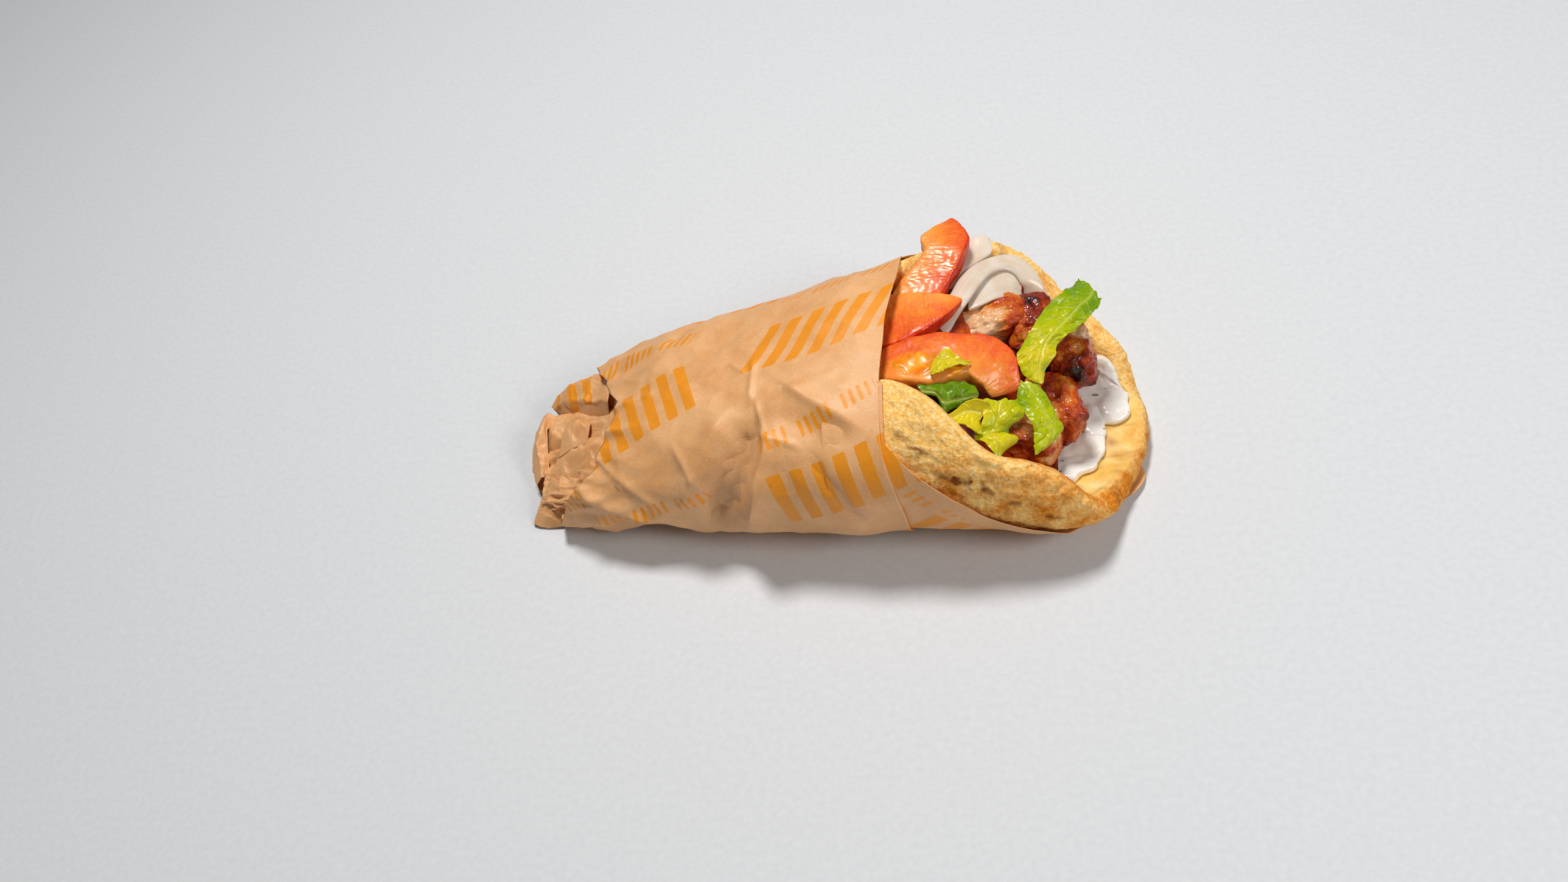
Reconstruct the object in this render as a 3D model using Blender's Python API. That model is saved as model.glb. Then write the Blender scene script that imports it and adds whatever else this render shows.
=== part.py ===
"""A pork souvlaki pita: grilled pork, salad and white sauce in a folded flatbread, in a paper sleeve.

The wrap lies on z = 0 along X, with its crumpled paper tail at -X and its open mouth at +X.
Shapes are worked out in millimetres, with x counted from the tail and y = 0 on the line where
the wrap touches the table. put() turns them into metres about the wrap's own middle.

One surface carries the rest: the wrap surface, a rounded cross-section for every x. The paper
lies just outside it and the bread just inside it. A place on it is (x, w), where w is the
distance in mm round the cross-section from the bottom line: w < 0 is the near side (-Y).
"""
import bmesh
import bpy
import numpy as np
from mathutils import Vector
from mathutils.bvhtree import BVHTree

# ---- Driving dimensions, in mm ----
LENGTH = 210.0          # from the tail's end to the tip of the bread
ORIGIN = (104.5, 3.7)   # what lies at the world's origin
PAPER = 0.8             # the paper's thickness, two layers
SLACK = 0.35            # air between pieces that touch
BREAD = 8.0             # the flatbread's thickness
BREAD_RADIUS = 91.0     # the flatbread before folding
BREAD_POWER = 2.3       # its outline: 2 is a circle, more is squarer
PAPER_GAP = 0.8         # air between the bread and the paper
MOUTH = 134.5           # where the sleeve ends
POWER = 2.5             # roundness of the cross-sections: 2 is an ellipse, more is squarer
FOOT = 0.8              # how much of the round underside is pressed flat where the wrap lies

# The wrap's cross-section at each station: half-widths and half-heights, near and far side.
STATION = (0, 10, 20, 30, 52, 85, 110, 134, 150, 160, 173, 189, 196, 205, 212)
NEAR_WIDE = (21, 24, 27, 30.5, 33.5, 39, 43.5, 45.5, 47, 47.5, 48, 45, 41, 33, 25)
FAR_WIDE = (23, 26, 28, 31, 34.5, 37, 40, 48, 54.5, 55.5, 50.5, 40, 33, 25, 18)
NEAR_HIGH = (7, 9.5, 12, 14.5, 20, 24.5, 28, 29.5, 30.5, 29.5, 25, 19, 17, 15, 14)
FAR_HIGH = (7, 9.5, 12, 14.5, 20, 24.5, 28, 29.5, 30.5, 30.5, 30, 29, 28, 26, 24)

# How far the bread reaches round the wrap, as a share of its flat half-width.
REACH_AT = (28, 85, 119, 137, 150, 158, 163, 173, 186, 195, 202, 207, 210)
REACH_NEAR = (1.0, 1.12, 1.17, 1.18, 1.11, 1.035, 1.01, 1.04, 1.03, 0.87, 0.7, 0.62, 0.6)
REACH_FAR = (1.0, 1.02, 1.02, 1.02, 1.02, 1.03, 1.04, 1.0, 0.88, 0.84, 0.86, 1.0, 1.0)


def srgb(code):
    """Turns an sRGB hex colour into linear RGBA."""
    part = np.array([int(code[i:i + 2], 16) / 255 for i in (0, 2, 4)])
    line = np.where(part <= 0.04045, part / 12.92, ((part + 0.055) / 1.055) ** 2.4)
    return (*line, 1.0)


def material(name, code, rough):
    """A plain Principled material."""
    mat = bpy.data.materials.new(name)
    mat.use_nodes = True
    mat.diffuse_color = srgb(code)
    bsdf = mat.node_tree.nodes["Principled BSDF"]
    bsdf.inputs["Base Color"].default_value = srgb(code)
    bsdf.inputs["Roughness"].default_value = rough
    bsdf.inputs["Metallic"].default_value = 0.0
    return mat


def curve(x, stations, values):
    """A smooth curve through (station, value) pairs; a value may be a number or a vector."""
    at, val = np.asarray(stations, float), np.asarray(values, float)
    slope = np.gradient(val, at, axis=0)
    x = np.clip(np.asarray(x, float), at[0], at[-1])
    i = np.clip(np.searchsorted(at, x, side="right") - 1, 0, len(at) - 2)
    step = at[i + 1] - at[i]
    t = (x - at[i]) / step
    if val.ndim > 1:
        t, step = t[..., None], step[..., None]
    a = (2 * t**3 - 3 * t**2 + 1) * val[i] + (t**3 - 2 * t**2 + t) * step * slope[i]
    return a + (3 * t**2 - 2 * t**3) * val[i + 1] + (t**3 - t**2) * step * slope[i + 1]


def smooth(t, low=0.0, high=1.0):
    """0 below low, 1 above high and an S between."""
    t = np.clip((t - low) / (high - low), 0, 1)
    return t * t * (3 - 2 * t)


def noise(p, size, seed):
    """A gentle bumpy field of about unit height; bumps are size mm wide."""
    rng = np.random.default_rng(seed)
    total = 0.0
    for _ in range(7):
        way = rng.normal(size=3)
        way *= 2 * np.pi / size / np.linalg.norm(way) * rng.uniform(0.6, 1.3)
        total = total + np.sin(p @ way + rng.uniform(0, 6.28))
    return total / 3.0


# ---- The wrap surface ----
GRID_X = np.linspace(-4, 214, 110)
GRID_U = np.linspace(0, 1, 121)


def side_table(wide, high):
    """Points (y, z) and the length of a half cross-section, from the bottom to the top."""
    turn = np.linspace(0, np.pi, 361)
    a = curve(GRID_X, STATION, wide)[:, None]
    b = curve(GRID_X, STATION, high)[:, None]
    y = a * np.sin(turn) ** (2 / POWER)
    z = b - b * np.sign(np.cos(turn)) * np.abs(np.cos(turn)) ** (2 / POWER)
    z = np.maximum(z - FOOT, 0)
    run = np.hypot(np.diff(y, axis=1), np.diff(z, axis=1)).cumsum(axis=1)
    run = np.hstack([np.zeros((len(run), 1)), run])
    rows = [(np.interp(GRID_U, r / r[-1], u), np.interp(GRID_U, r / r[-1], v)) for r, u, v in zip(run, y, z)]
    return np.array(rows), run[:, -1]


NEAR, NEAR_LONG = side_table(NEAR_WIDE, NEAR_HIGH)
FAR, FAR_LONG = side_table(FAR_WIDE, FAR_HIGH)


def half_round(x, w):
    """The length of the half cross-section on w's side."""
    return np.where(w < 0, np.interp(x, GRID_X, NEAR_LONG), np.interp(x, GRID_X, FAR_LONG))


def wrap(x, w):
    """The wrap surface's point at (x, w)."""
    x, w = np.broadcast_arrays(np.asarray(x, float), np.asarray(w, float))
    u = np.clip(np.abs(w) / half_round(x, w), 0, 1) * (len(GRID_U) - 1)
    k = np.clip((x - GRID_X[0]) / (GRID_X[1] - GRID_X[0]), 0, len(GRID_X) - 1.001)
    i, j = k.astype(int), np.minimum(u.astype(int), len(GRID_U) - 2)
    s, t = k - i, u - j
    out = []
    for part in (0, 1):
        near, far = NEAR[:, part], FAR[:, part]
        ends = [np.where(w < 0, near[i + a, j + b], far[i + a, j + b]) for a in (0, 1) for b in (0, 1)]
        out.append((1 - s) * ((1 - t) * ends[0] + t * ends[1]) + s * ((1 - t) * ends[2] + t * ends[3]))
    lift = PAPER_GAP + PAPER
    return np.stack([x, np.sign(w) * out[0], out[1] + lift], -1)


def outward(x, w):
    """The wrap surface's outward normal at (x, w)."""
    along = wrap(x + 1.5, w) - wrap(x - 1.5, w)
    across = wrap(x, w + 1.5) - wrap(x, w - 1.5)
    way = np.cross(across, along)
    way = way / np.maximum(np.linalg.norm(way, axis=-1, keepdims=True), 1e-9)
    return way


def around(x, w, out):
    """A point out mm outside the wrap surface, or inside it where out is negative."""
    return wrap(x, w) + outward(x, w) * np.asarray(out)[..., None]


# ---- Meshes ----
def put(name, points, faces, mat):
    """Makes an object of points in mm, with outward faces."""
    points = (points - np.array([*ORIGIN, 0.0])) / 1000
    mesh = bpy.data.meshes.new(name)
    mesh.from_pydata([tuple(p) for p in points], [], [tuple(int(i) for i in f) for f in faces])
    mesh.materials.append(mat)
    work = bmesh.new()
    work.from_mesh(mesh)
    bmesh.ops.recalc_face_normals(work, faces=work.faces)
    if work.calc_volume(signed=True) < 0:
        bmesh.ops.reverse_faces(work, faces=work.faces)
    bmesh.ops.triangulate(work, faces=work.faces)
    work.to_mesh(mesh)
    work.free()
    mesh.shade_smooth()
    obj = bpy.data.objects.new(name, mesh)
    bpy.context.scene.collection.objects.link(obj)
    return obj


def tube_faces(rings, around_count):
    """Quads of a tube of rings, and a fan to the two poles, which are the last two points."""
    i, j = np.meshgrid(np.arange(rings - 1) * around_count, np.arange(around_count), indexing="ij")
    k = (j + 1) % around_count
    quads = np.stack([i + j, i + k, i + around_count + k, i + around_count + j], -1)
    j = np.arange(around_count)
    k = (j + 1) % around_count
    first, last = rings * around_count, (rings - 1) * around_count
    ends = [(first, b, a) for a, b in zip(j, k)] + [(first + 1, last + a, last + b) for a, b in zip(j, k)]
    return list(quads.reshape(-1, 4)) + ends


def tube(name, rings, poles, mat):
    """A closed body of equal rings, an array of (rings, around, 3), and a pole at each end."""
    points = np.vstack([rings.reshape(-1, 3), poles])
    return put(name, points, tube_faces(*rings.shape[:2]), mat)


def ribbon(name, mat, path, wide, deep, face, steps=(14, 12), power=3.0, ripple=(0, 8, 1)):
    """A slice or strip along a path: its width, depth and the way it faces change along it."""
    count, spokes = steps
    at = np.linspace(0, 1, len(path))
    t = np.linspace(0, 1, count)
    mid, a, c = (curve(t, at, v) for v in (path, wide, deep))
    up = curve(t, at, face)
    run = np.gradient(mid, axis=0)
    run /= np.linalg.norm(run, axis=1, keepdims=True)
    up -= run * (up * run).sum(1, keepdims=True)
    up /= np.linalg.norm(up, axis=1, keepdims=True)
    side = np.cross(run, up)
    turn = (np.arange(spokes) + 0.5) * 2 * np.pi / spokes
    flat = np.sign(np.cos(turn)) * np.abs(np.cos(turn)) ** (2 / power)
    tall = np.sign(np.sin(turn)) * np.abs(np.sin(turn)) ** (2 / power)
    end = np.sqrt(1 - np.abs(2 * t - 1) ** 12) * 0.35 + 0.65
    rings = mid[:, None] + side[:, None] * (flat * (a * end)[:, None] / 2)[..., None]
    depth = (tall * (c * end)[:, None] / 2)[..., None]
    wave = ripple[0] * noise(rings * [1, 1, 0.2], ripple[1], ripple[2])[..., None]
    rings = rings + up[:, None] * (depth + wave)
    poles = rings[[0, -1]].mean(1)
    return tube(name, rings, poles, mat)


# ---- Paper ----
def sleeve_end(u, w):
    """Where the paper ends: the mouth on top, and below it a sheet that runs on under the bread."""
    tongue = curve(w, (-85, -78, -74, -65, -58, -54, -50, -45, -17, 0, 30, 60, 84),
                   (131, 138, 143, 154, 162, 172, 181, 184, 207.5, 198, 184, 160, 134))
    mouth = MOUTH - 4.5 * smooth(-u, 0.45, 0.72) + smooth(-u, 0.85, 1) - 3.5 * smooth(u, 0.75, 1)
    return np.where(np.abs(w) < 85, np.maximum(tongue, mouth), mouth)


def bulge(x, u):
    """How far the paper stands off the bread: soft dents, pleats at the tail and a twist."""
    turn = u * np.pi
    point = np.stack([x * 0.7, 40 * np.cos(turn), 40 * np.sin(turn)], -1)
    loose = 0.9 + 0.8 * noise(point, 42, 5)
    pleats = np.abs(np.sin(4.5 * turn + 0.035 * x + 0.6 * noise(point, 30, 8)))
    tail = 1 - smooth(x, 4, 44)
    return np.clip(loose, 0, 2.2) * smooth(x, 0, 40) * (1 - smooth(x, 118, 132)) + 3.0 * tail * pleats


def crushed(points, u):
    """Presses the tail flatter outside the sleeve's rim, most on the near side."""
    rim = curve(u, (-1, -0.85, -0.7, -0.55, -0.42, -0.25, 0, 0.3, 0.6, 0.85, 1),
                (34, 32, 27.5, 18, 10, 8, 12, 17, 22, 28, 34))
    y = points[..., 1]
    flatter = 0.12 + 0.2 * (1 - smooth(y, 8, 14)) + 0.1 * (1 - smooth(y, -10, 0))
    points[..., 2] *= 1 - flatter * (1 - smooth(points[..., 0] - rim, -9, 0))
    return points


def paper_sleeve(mat):
    """The sleeve: closed and crumpled at the tail, open at the mouth, hollow from the pocket on."""
    spokes, outer, inner, pocket = 40, 24, 13, 34.0
    u = -1 + 2 * (np.arange(spokes) + 0.5) / spokes
    length = half_round(MOUTH, u)
    w_mouth = u * length
    end = sleeve_end(u, w_mouth)
    start = 5 - 3 * smooth(u, -0.3, 0.2) + 7 * smooth(u, 0.35, 0.8) * (1 - smooth(u, 0.9, 1))
    start = start + 2 * np.cos(3.5 * u * np.pi) ** 2 - 6 * np.exp(-(((u + 0.4) / 0.08) ** 2))

    def skin(first, s, out):
        x = first + (end - first) * s[:, None]
        w = np.where(x < MOUTH, u * half_round(x, u + 0 * x), w_mouth)
        lift = bulge(x, u + 0 * x) * smooth(np.abs(u), 0.12, 0.3) * (1 - smooth(x, MOUTH - 12, MOUTH))
        points = around(x, w, lift + out)
        points[..., 2] = np.maximum(points[..., 2], 0.0 if out > PAPER_GAP else PAPER)
        return points

    outside = crushed(skin(start, np.linspace(0, 1, outer) ** 1.35, PAPER_GAP + PAPER), u)
    inside = skin(pocket, np.linspace(1, 0, inner), PAPER_GAP)
    rings = np.concatenate([outside, inside])
    tail_pole = outside[0].mean(0) + [5, 0, 0]
    pocket_pole = inside[-1].mean(0) - [3, 0, 0]
    return tube("paper_sleeve", rings, [tail_pole, pocket_pole], mat)


# ---- Bread ----
def chord(share):
    """The bread's half-width at a share of its radius from its middle, over its radius."""
    return np.maximum(1 - np.abs(share) ** BREAD_POWER, 0) ** (1 / BREAD_POWER)


def bread_width(x, side):
    """How far the bread reaches round the wrap at x."""
    half = BREAD_RADIUS * chord((x - LENGTH) / BREAD_RADIUS + 1)
    near, far = curve(x, REACH_AT, REACH_NEAR), curve(x, REACH_AT, REACH_FAR)
    return half * np.where(side < 0, near, far)


def pita(mat):
    """A round flatbread folded into the wrap surface, with a rounded rim."""
    spokes, rings = 56, 11
    turn = np.arange(spokes) * 2 * np.pi / spokes
    share = np.sin(np.linspace(0.09, 1, rings) * np.pi / 2)
    share[:-1] *= 0.985
    edge = np.clip((1 - share) * BREAD_RADIUS / (BREAD / 2), 0, 1)
    thick = BREAD * np.sqrt(1 - (1 - edge) ** 2)
    share = np.concatenate([share, share[-2::-1]])
    depth = np.concatenate([(BREAD - thick) / 2, ((BREAD + thick) / 2)[-2::-1]])
    ahead = share[:, None] * np.sign(np.cos(turn)) * np.abs(np.cos(turn)) ** (2 / BREAD_POWER)
    side = share[:, None] * np.sign(np.sin(turn)) * np.abs(np.sin(turn)) ** (2 / BREAD_POWER)
    x = LENGTH - BREAD_RADIUS * (1 - ahead)
    half = np.maximum(chord(ahead), 1e-3)
    w = side / half * bread_width(x, side)
    bubbles = 0.5 * noise(np.stack([x, w, 0 * x], -1), 17, 3)
    inner = np.where(depth > BREAD / 2, 1.0, 0.0)[:, None]
    points = around(x, w, -(depth[:, None] + inner * bubbles * 0.8))
    middle = LENGTH - BREAD_RADIUS
    poles = [around(middle, 0.0, 0.0), around(middle, 0.0, -BREAD)]
    return tube("pita", points, np.array(poles), mat)


# ---- Fillings ----
def heap(x, side):
    """The height of the packed filling under the pieces on show, lower on the near side."""
    top = curve(x, (40, 60, 110, 130, 150, 160, 170, 178, 188), (25, 34, 46, 50, 47, 41, 34, 27, 15))
    return top - np.where(side < 0, 14 * smooth(x, 150, 170) * (1 - smooth(x, 172, 188)), 0)


def filling_core(mat):
    """The packed meat and salad that fill the bread, as a loft of rounded sections."""
    inset = BREAD + SLACK + 0.9
    x = np.linspace(42, 187, 20)
    t = np.linspace(0, 1, 9)
    sides = []
    for sign, wide, high in ((-1, NEAR_WIDE, NEAR_HIGH), (1, FAR_WIDE, FAR_HIGH)):
        a = curve(x, STATION, wide) - inset
        b = curve(x, STATION, high) - 0.5 * inset
        foot = PAPER_GAP + PAPER + inset
        top = np.minimum(heap(x, sign), foot + 1.9 * (b - 0.5 * inset))
        z = foot + (top - foot)[:, None] * t**1.5
        level = np.clip(np.abs((z - foot) / (b - 0.5 * inset)[:, None] - 1), 0, 1)
        y = sign * a[:, None] * np.maximum(1 - level**POWER, 0) ** (1 / POWER)
        sides.append(np.stack([x[:, None] + 0 * z, y, z], -1))
    near, far = sides
    low = min(near.shape[1], far.shape[1])
    mix = np.linspace(0, 1, 7)[1:-1, None]
    top = near[:, None, -1] * (1 - mix) + far[:, None, -1] * mix
    top[..., 2] += 1.2 * noise(top, 13, 4)
    rings = np.concatenate([near[:, :low], top, far[:, ::-1][:, :low - 1]], axis=1)
    return tube("filling_core", rings, rings[[0, -1]].mean(1), mat)


def chunk(name, mat, centre, radii, turn, seed, rough=0.16):
    """A chunk of grilled meat: a lumpy ball, squared and dented."""
    work = bmesh.new()
    bmesh.ops.create_icosphere(work, subdivisions=3, radius=1.0)
    ball = np.array([v.co for v in work.verts])
    faces = [[v.index for v in f.verts] for f in work.faces]
    work.free()
    box = np.abs(ball) ** 3.2
    ball = ball / box.sum(1, keepdims=True) ** (1 / 3.2)
    ball *= 1 + rough * (noise(ball, 1.9, seed) + 0.5 * noise(ball, 0.9, seed + 1))[:, None]
    ball *= np.asarray(radii)
    a = np.radians(turn)
    spin = np.array([[np.cos(a), -np.sin(a), 0], [np.sin(a), np.cos(a), 0], [0, 0, 1]])
    return put(name, ball @ spin.T + np.asarray(centre, float), faces, mat)


def pool(name, mat, centre, size, thick, seed):
    """A pool of thick sauce on the inside of the bread, round a place (x, w)."""
    spokes, rings = 22, 5
    turn = np.arange(spokes) * 2 * np.pi / spokes
    ring = np.stack([np.cos(turn), np.sin(turn), 0 * turn], -1)
    edge = 1 + 0.22 * noise(ring, 1.6, seed)
    share = np.array([0.25, 0.6, 0.88, 1.0, 0.9, 0.3])[:, None]
    lift = np.array([1.0, 0.93, 0.62, 0.3, 0.0, 0.0])[:, None] * thick + SLACK + 0.5
    x = centre[0] + size[0] * share * edge * np.cos(turn)
    w = centre[1] + size[1] * share * edge * np.sin(turn)
    points = around(x, w, -BREAD - lift + 0 * x)
    poles = [around(centre[0], float(centre[1]), -BREAD - SLACK - 0.5 - thick),
             around(centre[0], float(centre[1]), -BREAD - SLACK - 0.5)]
    return tube(name, points, np.array(poles), mat)


TO_EYE = (0.1, -0.45, 0.88)     # most of what shows in the mouth faces up and to the near side
LEVEL = (0.0, -0.2, 1.0)
UP = (0.0, 0.0, 1.0)
LEAF = 1.2                      # the thickness of a leaf


def tomatoes(mat):
    """Three slices of tomato stacked at the mouth."""
    first = ribbon("tomato_1", mat, [(155, 46, 58), (150, 38, 57), (144, 29, 55), (136, 22, 52), (129, 14, 49)],
                   (8, 12, 14, 15, 14), (5, 7, 7, 7, 6), [TO_EYE] * 4 + [UP], steps=(14, 12), power=4)
    second = ribbon("tomato_2", mat, [(154, 22, 50), (147, 15, 53), (139, 10, 54), (126, 9, 51)],
                    (3, 10, 18, 22), (3, 5, 6, 6), [TO_EYE, TO_EYE, LEVEL, UP])
    path = [(166, -19, 44), (166, -9, 47), (160, -3.5, 50), (151, -4.5, 53), (141, -8, 54), (127, -9, 51)]
    third = ribbon("tomato_3", mat, path, (9, 12, 13, 14, 17, 20), (6, 7, 8, 8, 7, 6), [TO_EYE] * 4 + [LEVEL, UP],
                   steps=(16, 12), power=4)
    return [first, third, second]


def onions(mat):
    """A flat piece of onion and a curved strip cut from a ring."""
    flat = ribbon("onion_1", mat, [(161, 48, 49), (156, 38, 48), (150, 30, 46)], (7.5, 8.5, 8), (2.2, 2.2, 2.2),
                  [TO_EYE] * 3, steps=(8, 10))
    route = [(148, 6, 47), (152, 18, 48), (158, 31, 47), (166, 40, 45), (173, 39, 43), (177, 33, 38)]
    ring = ribbon("onion_2", mat, route, (6, 7, 6.5, 6.5, 6.5, 6.5), (2.2,) * 6, [TO_EYE] * 6, steps=(18, 10))
    return [flat, ring]


def lettuce(mat):
    """Shreds and torn leaves of lettuce: each is a path, its widths, its waviness and a seed."""
    shapes = [
        ([(158, -11, 58), (152, -14, 59), (147, -18, 59)], (4, 7, 5), 0.8, 31),
        ([(195, 23, 47), (187, 12, 50), (180, 5, 51), (176, -4, 50), (177, -15, 47)], (9, 11, 11, 9, 3), 0.5, 32),
        ([(172, -8, 46), (176, -18, 44), (179, -25, 41), (176, -33, 37)], (6, 8, 10, 6), 0.8, 33),
        ([(160, -21, 50), (152, -20, 53), (144, -19, 54)], (7, 9, 8), 1.0, 34),
        ([(161, -28, 47), (156, -28, 49), (149, -26, 51)], (6, 9, 6), 1.2, 35),
        ([(173, -22, 42), (166, -27, 44), (158, -31, 44)], (10, 14, 10), 1.3, 36),
    ]
    leaves = []
    for number, (path, wide, wave, seed) in enumerate(shapes, 1):
        leaf = ribbon(f"lettuce_{number}", mat, path, wide, (LEAF,) * len(path), [TO_EYE] * len(path),
                      steps=(4 * len(path), 10), power=5, ripple=(wave, 7, seed))
        leaves.append(leaf)
    return leaves


def pork(mat):
    """Five chunks of grilled pork that show between the salad."""
    return [
        chunk("pork_1", mat, (188.5, 9, 30), (8, 10.5, 8), 10, 11),
        chunk("pork_2", mat, (182, -8, 25), (7.5, 12, 8), 15, 12),
        chunk("pork_3", mat, (162, 21, 37), (11, 9, 8), 30, 13),
        chunk("pork_4", mat, (174, 18, 35), (7, 12, 8.5), -8, 14),
        chunk("pork_5", mat, (174, -20, 21), (11, 8, 7.5), -10, 15),
    ]


# ---- Fitting the pieces to each other ----
def tree(obj):
    """A search tree of a piece's faces."""
    return BVHTree.FromPolygons([v.co for v in obj.data.vertices], [p.vertices for p in obj.data.polygons])


def fat_copy(obj):
    """A hidden copy, grown by the slack, to cut with."""
    cutter = bpy.data.objects.new("cutter", obj.data.copy())
    normals = [v.normal.copy() for v in cutter.data.vertices]
    for vert, way in zip(cutter.data.vertices, normals):
        vert.co += way * (SLACK / 1000)
    bpy.context.scene.collection.objects.link(cutter)
    return cutter


def keep_largest(work):
    """Drops the scraps that a cut leaves."""
    left, islands = set(work.verts), []
    while left:
        group, edge = set(), [left.pop()]
        while edge:
            vert = edge.pop()
            group.add(vert)
            for link in vert.link_edges:
                other = link.other_vert(vert)
                if other in left:
                    left.remove(other)
                    edge.append(other)
        islands.append(group)

    def bulk(group):
        low = [min(v.co[k] for v in group) for k in range(3)]
        high = [max(v.co[k] for v in group) for k in range(3)]
        return (Vector(high) - Vector(low)).length

    islands.sort(key=bulk, reverse=True)
    for group in islands[1:]:
        bmesh.ops.delete(work, geom=list(group), context="VERTS")


FLAT = np.radians(3)     # faces that meet at less than this are merged after a cut


def clean(made, merge):
    """A cut mesh without scraps or needless edges, and whether it is closed."""
    work = bmesh.new()
    work.from_mesh(made)
    if merge:
        bmesh.ops.remove_doubles(work, verts=work.verts, dist=merge)
        bmesh.ops.dissolve_degenerate(work, edges=work.edges, dist=merge)
    keep_largest(work)
    bmesh.ops.dissolve_limit(work, angle_limit=FLAT, verts=work.verts, edges=work.edges)
    bmesh.ops.triangulate(work, faces=work.faces)
    closed = all(edge.is_manifold for edge in work.edges)
    return work, closed


def cut_once(obj, cutter, solver):
    """The piece's mesh with a cutter taken out of it."""
    cut = obj.modifiers.new("cut", "BOOLEAN")
    cut.operation = "DIFFERENCE"
    cut.solver = solver
    cut.object = cutter
    if solver == "EXACT":
        cut.use_self = True
    made = bpy.data.meshes.new_from_object(obj.evaluated_get(bpy.context.evaluated_depsgraph_get()))
    obj.modifiers.remove(cut)
    return made


def carve(obj, cutters):
    """Cuts the fattened neighbours above it out of a piece, in the first way that leaves it closed."""
    for cutter in cutters:
        if not tree(obj).overlap(tree(cutter)):
            continue
        for solver, merge in (("EXACT", 2e-5), ("EXACT", 5e-6), ("EXACT", 0), ("MANIFOLD", 5e-6), ("MANIFOLD", 0)):
            made = cut_once(obj, cutter, solver)
            work, closed = clean(made, merge)
            work.to_mesh(made)
            work.free()
            if closed:
                break
            print(obj.name, "left open by", solver, merge)
        obj.data = made


def main():
    for obj in list(bpy.data.objects):
        bpy.data.objects.remove(obj, do_unlink=True)
    paper = material("kraft_paper", "d6a77c", 0.75)
    bread = material("pita_bread", "d9a95c", 0.85)
    meat = material("grilled_pork", "7a2f16", 0.4)
    flesh = material("tomato_flesh", "e2582a", 0.3)
    bulb = material("onion_flesh", "e4d6c8", 0.35)
    leaf = material("lettuce_leaf", "8fb81e", 0.45)
    cream = material("white_sauce", "efe2d3", 0.3)
    leaves = lettuce(leaf)
    slices = tomatoes(flesh)
    pieces = [paper_sleeve(paper), pita(bread), *leaves[:3], *slices, *leaves[3:], *onions(bulb), *pork(meat)]
    pieces.append(pool("white_sauce_1", cream, (195.5, 9), (9, 15), 2.6, 21))
    pieces.append(pool("white_sauce_2", cream, (186, -19), (10, 10), 2.4, 22))
    pieces.append(filling_core(meat))
    cutters = []
    for obj in pieces:
        bpy.context.view_layer.update()
        carve(obj, cutters)
        cutters.append(fat_copy(obj))
    for cutter in cutters:
        bpy.data.objects.remove(cutter, do_unlink=True)
    for obj in pieces:
        print(obj.name, len(obj.data.polygons))
    print("triangles", sum(len(obj.data.polygons) for obj in pieces))


main()
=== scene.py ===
# %% [markdown]
# # A pork souvlaki pita
# A round Greek pita is folded round grilled pork, tomato, onion, lettuce and a white sauce,
# and pushed into a printed kraft paper sleeve. The wrap lies on its side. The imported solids
# come first, as the frame that every finer piece is fitted to.

# %% Load the frame
import bmesh
import bpy
import numpy as np
from mathutils import Matrix


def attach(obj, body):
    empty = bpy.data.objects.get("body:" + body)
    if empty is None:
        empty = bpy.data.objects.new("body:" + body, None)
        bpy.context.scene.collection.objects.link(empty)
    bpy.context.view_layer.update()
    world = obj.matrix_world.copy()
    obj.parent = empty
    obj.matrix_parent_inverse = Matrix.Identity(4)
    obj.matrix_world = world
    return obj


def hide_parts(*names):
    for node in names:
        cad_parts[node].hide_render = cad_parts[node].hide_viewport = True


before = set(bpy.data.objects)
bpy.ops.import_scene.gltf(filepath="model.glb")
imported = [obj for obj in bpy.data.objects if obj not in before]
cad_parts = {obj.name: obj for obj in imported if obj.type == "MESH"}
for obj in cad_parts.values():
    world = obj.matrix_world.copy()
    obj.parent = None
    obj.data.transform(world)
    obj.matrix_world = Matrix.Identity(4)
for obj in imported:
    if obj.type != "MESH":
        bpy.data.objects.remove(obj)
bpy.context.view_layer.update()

print(len(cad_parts), "solids in the frame")

# %% [markdown]
# ## Measures
# All work is in millimetres, with x counted from the paper tail and y = 0 on the line where
# the wrap touches the table. One smooth surface carries everything: a rounded cross-section
# at every x. A place on it is (x, w), where w is the way round from the bottom line, and
# w < 0 is the near side. Paper lies just outside this surface and bread just inside it, which
# keeps the two apart nearly everywhere. Inside the closed tail, out of sight, the bread's end
# runs through the walls that close the paper.

# %% Driving sizes, the same as the solids have
ORIGIN = np.array([104.5, 3.7, 0.0])
LENGTH, MOUTH, FOOT, POWER = 210.0, 134.5, 0.8, 2.5
PAPER, PAPER_GAP, BREAD = 0.8, 0.8, 8.0
BREAD_RADIUS, BREAD_POWER = 91.0, 2.3
STATION = (0, 10, 20, 30, 52, 85, 110, 134, 150, 160, 173, 189, 196, 205, 212)
NEAR_WIDE = (21, 24, 27, 30.5, 33.5, 39, 43.5, 45.5, 47, 47.5, 48, 45, 41, 33, 25)
FAR_WIDE = (23, 26, 28, 31, 34.5, 37, 40, 48, 54.5, 55.5, 50.5, 40, 33, 25, 18)
NEAR_HIGH = (7, 9.5, 12, 14.5, 20, 24.5, 28, 29.5, 30.5, 29.5, 25, 19, 17, 15, 14)
FAR_HIGH = (7, 9.5, 12, 14.5, 20, 24.5, 28, 29.5, 30.5, 30.5, 30, 29, 28, 26, 24)
REACH_AT = (28, 85, 119, 137, 150, 158, 163, 173, 186, 195, 202, 207, 210)
REACH_NEAR = (1.0, 1.12, 1.17, 1.18, 1.11, 1.035, 1.01, 1.04, 1.03, 0.87, 0.7, 0.62, 0.6)
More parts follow.
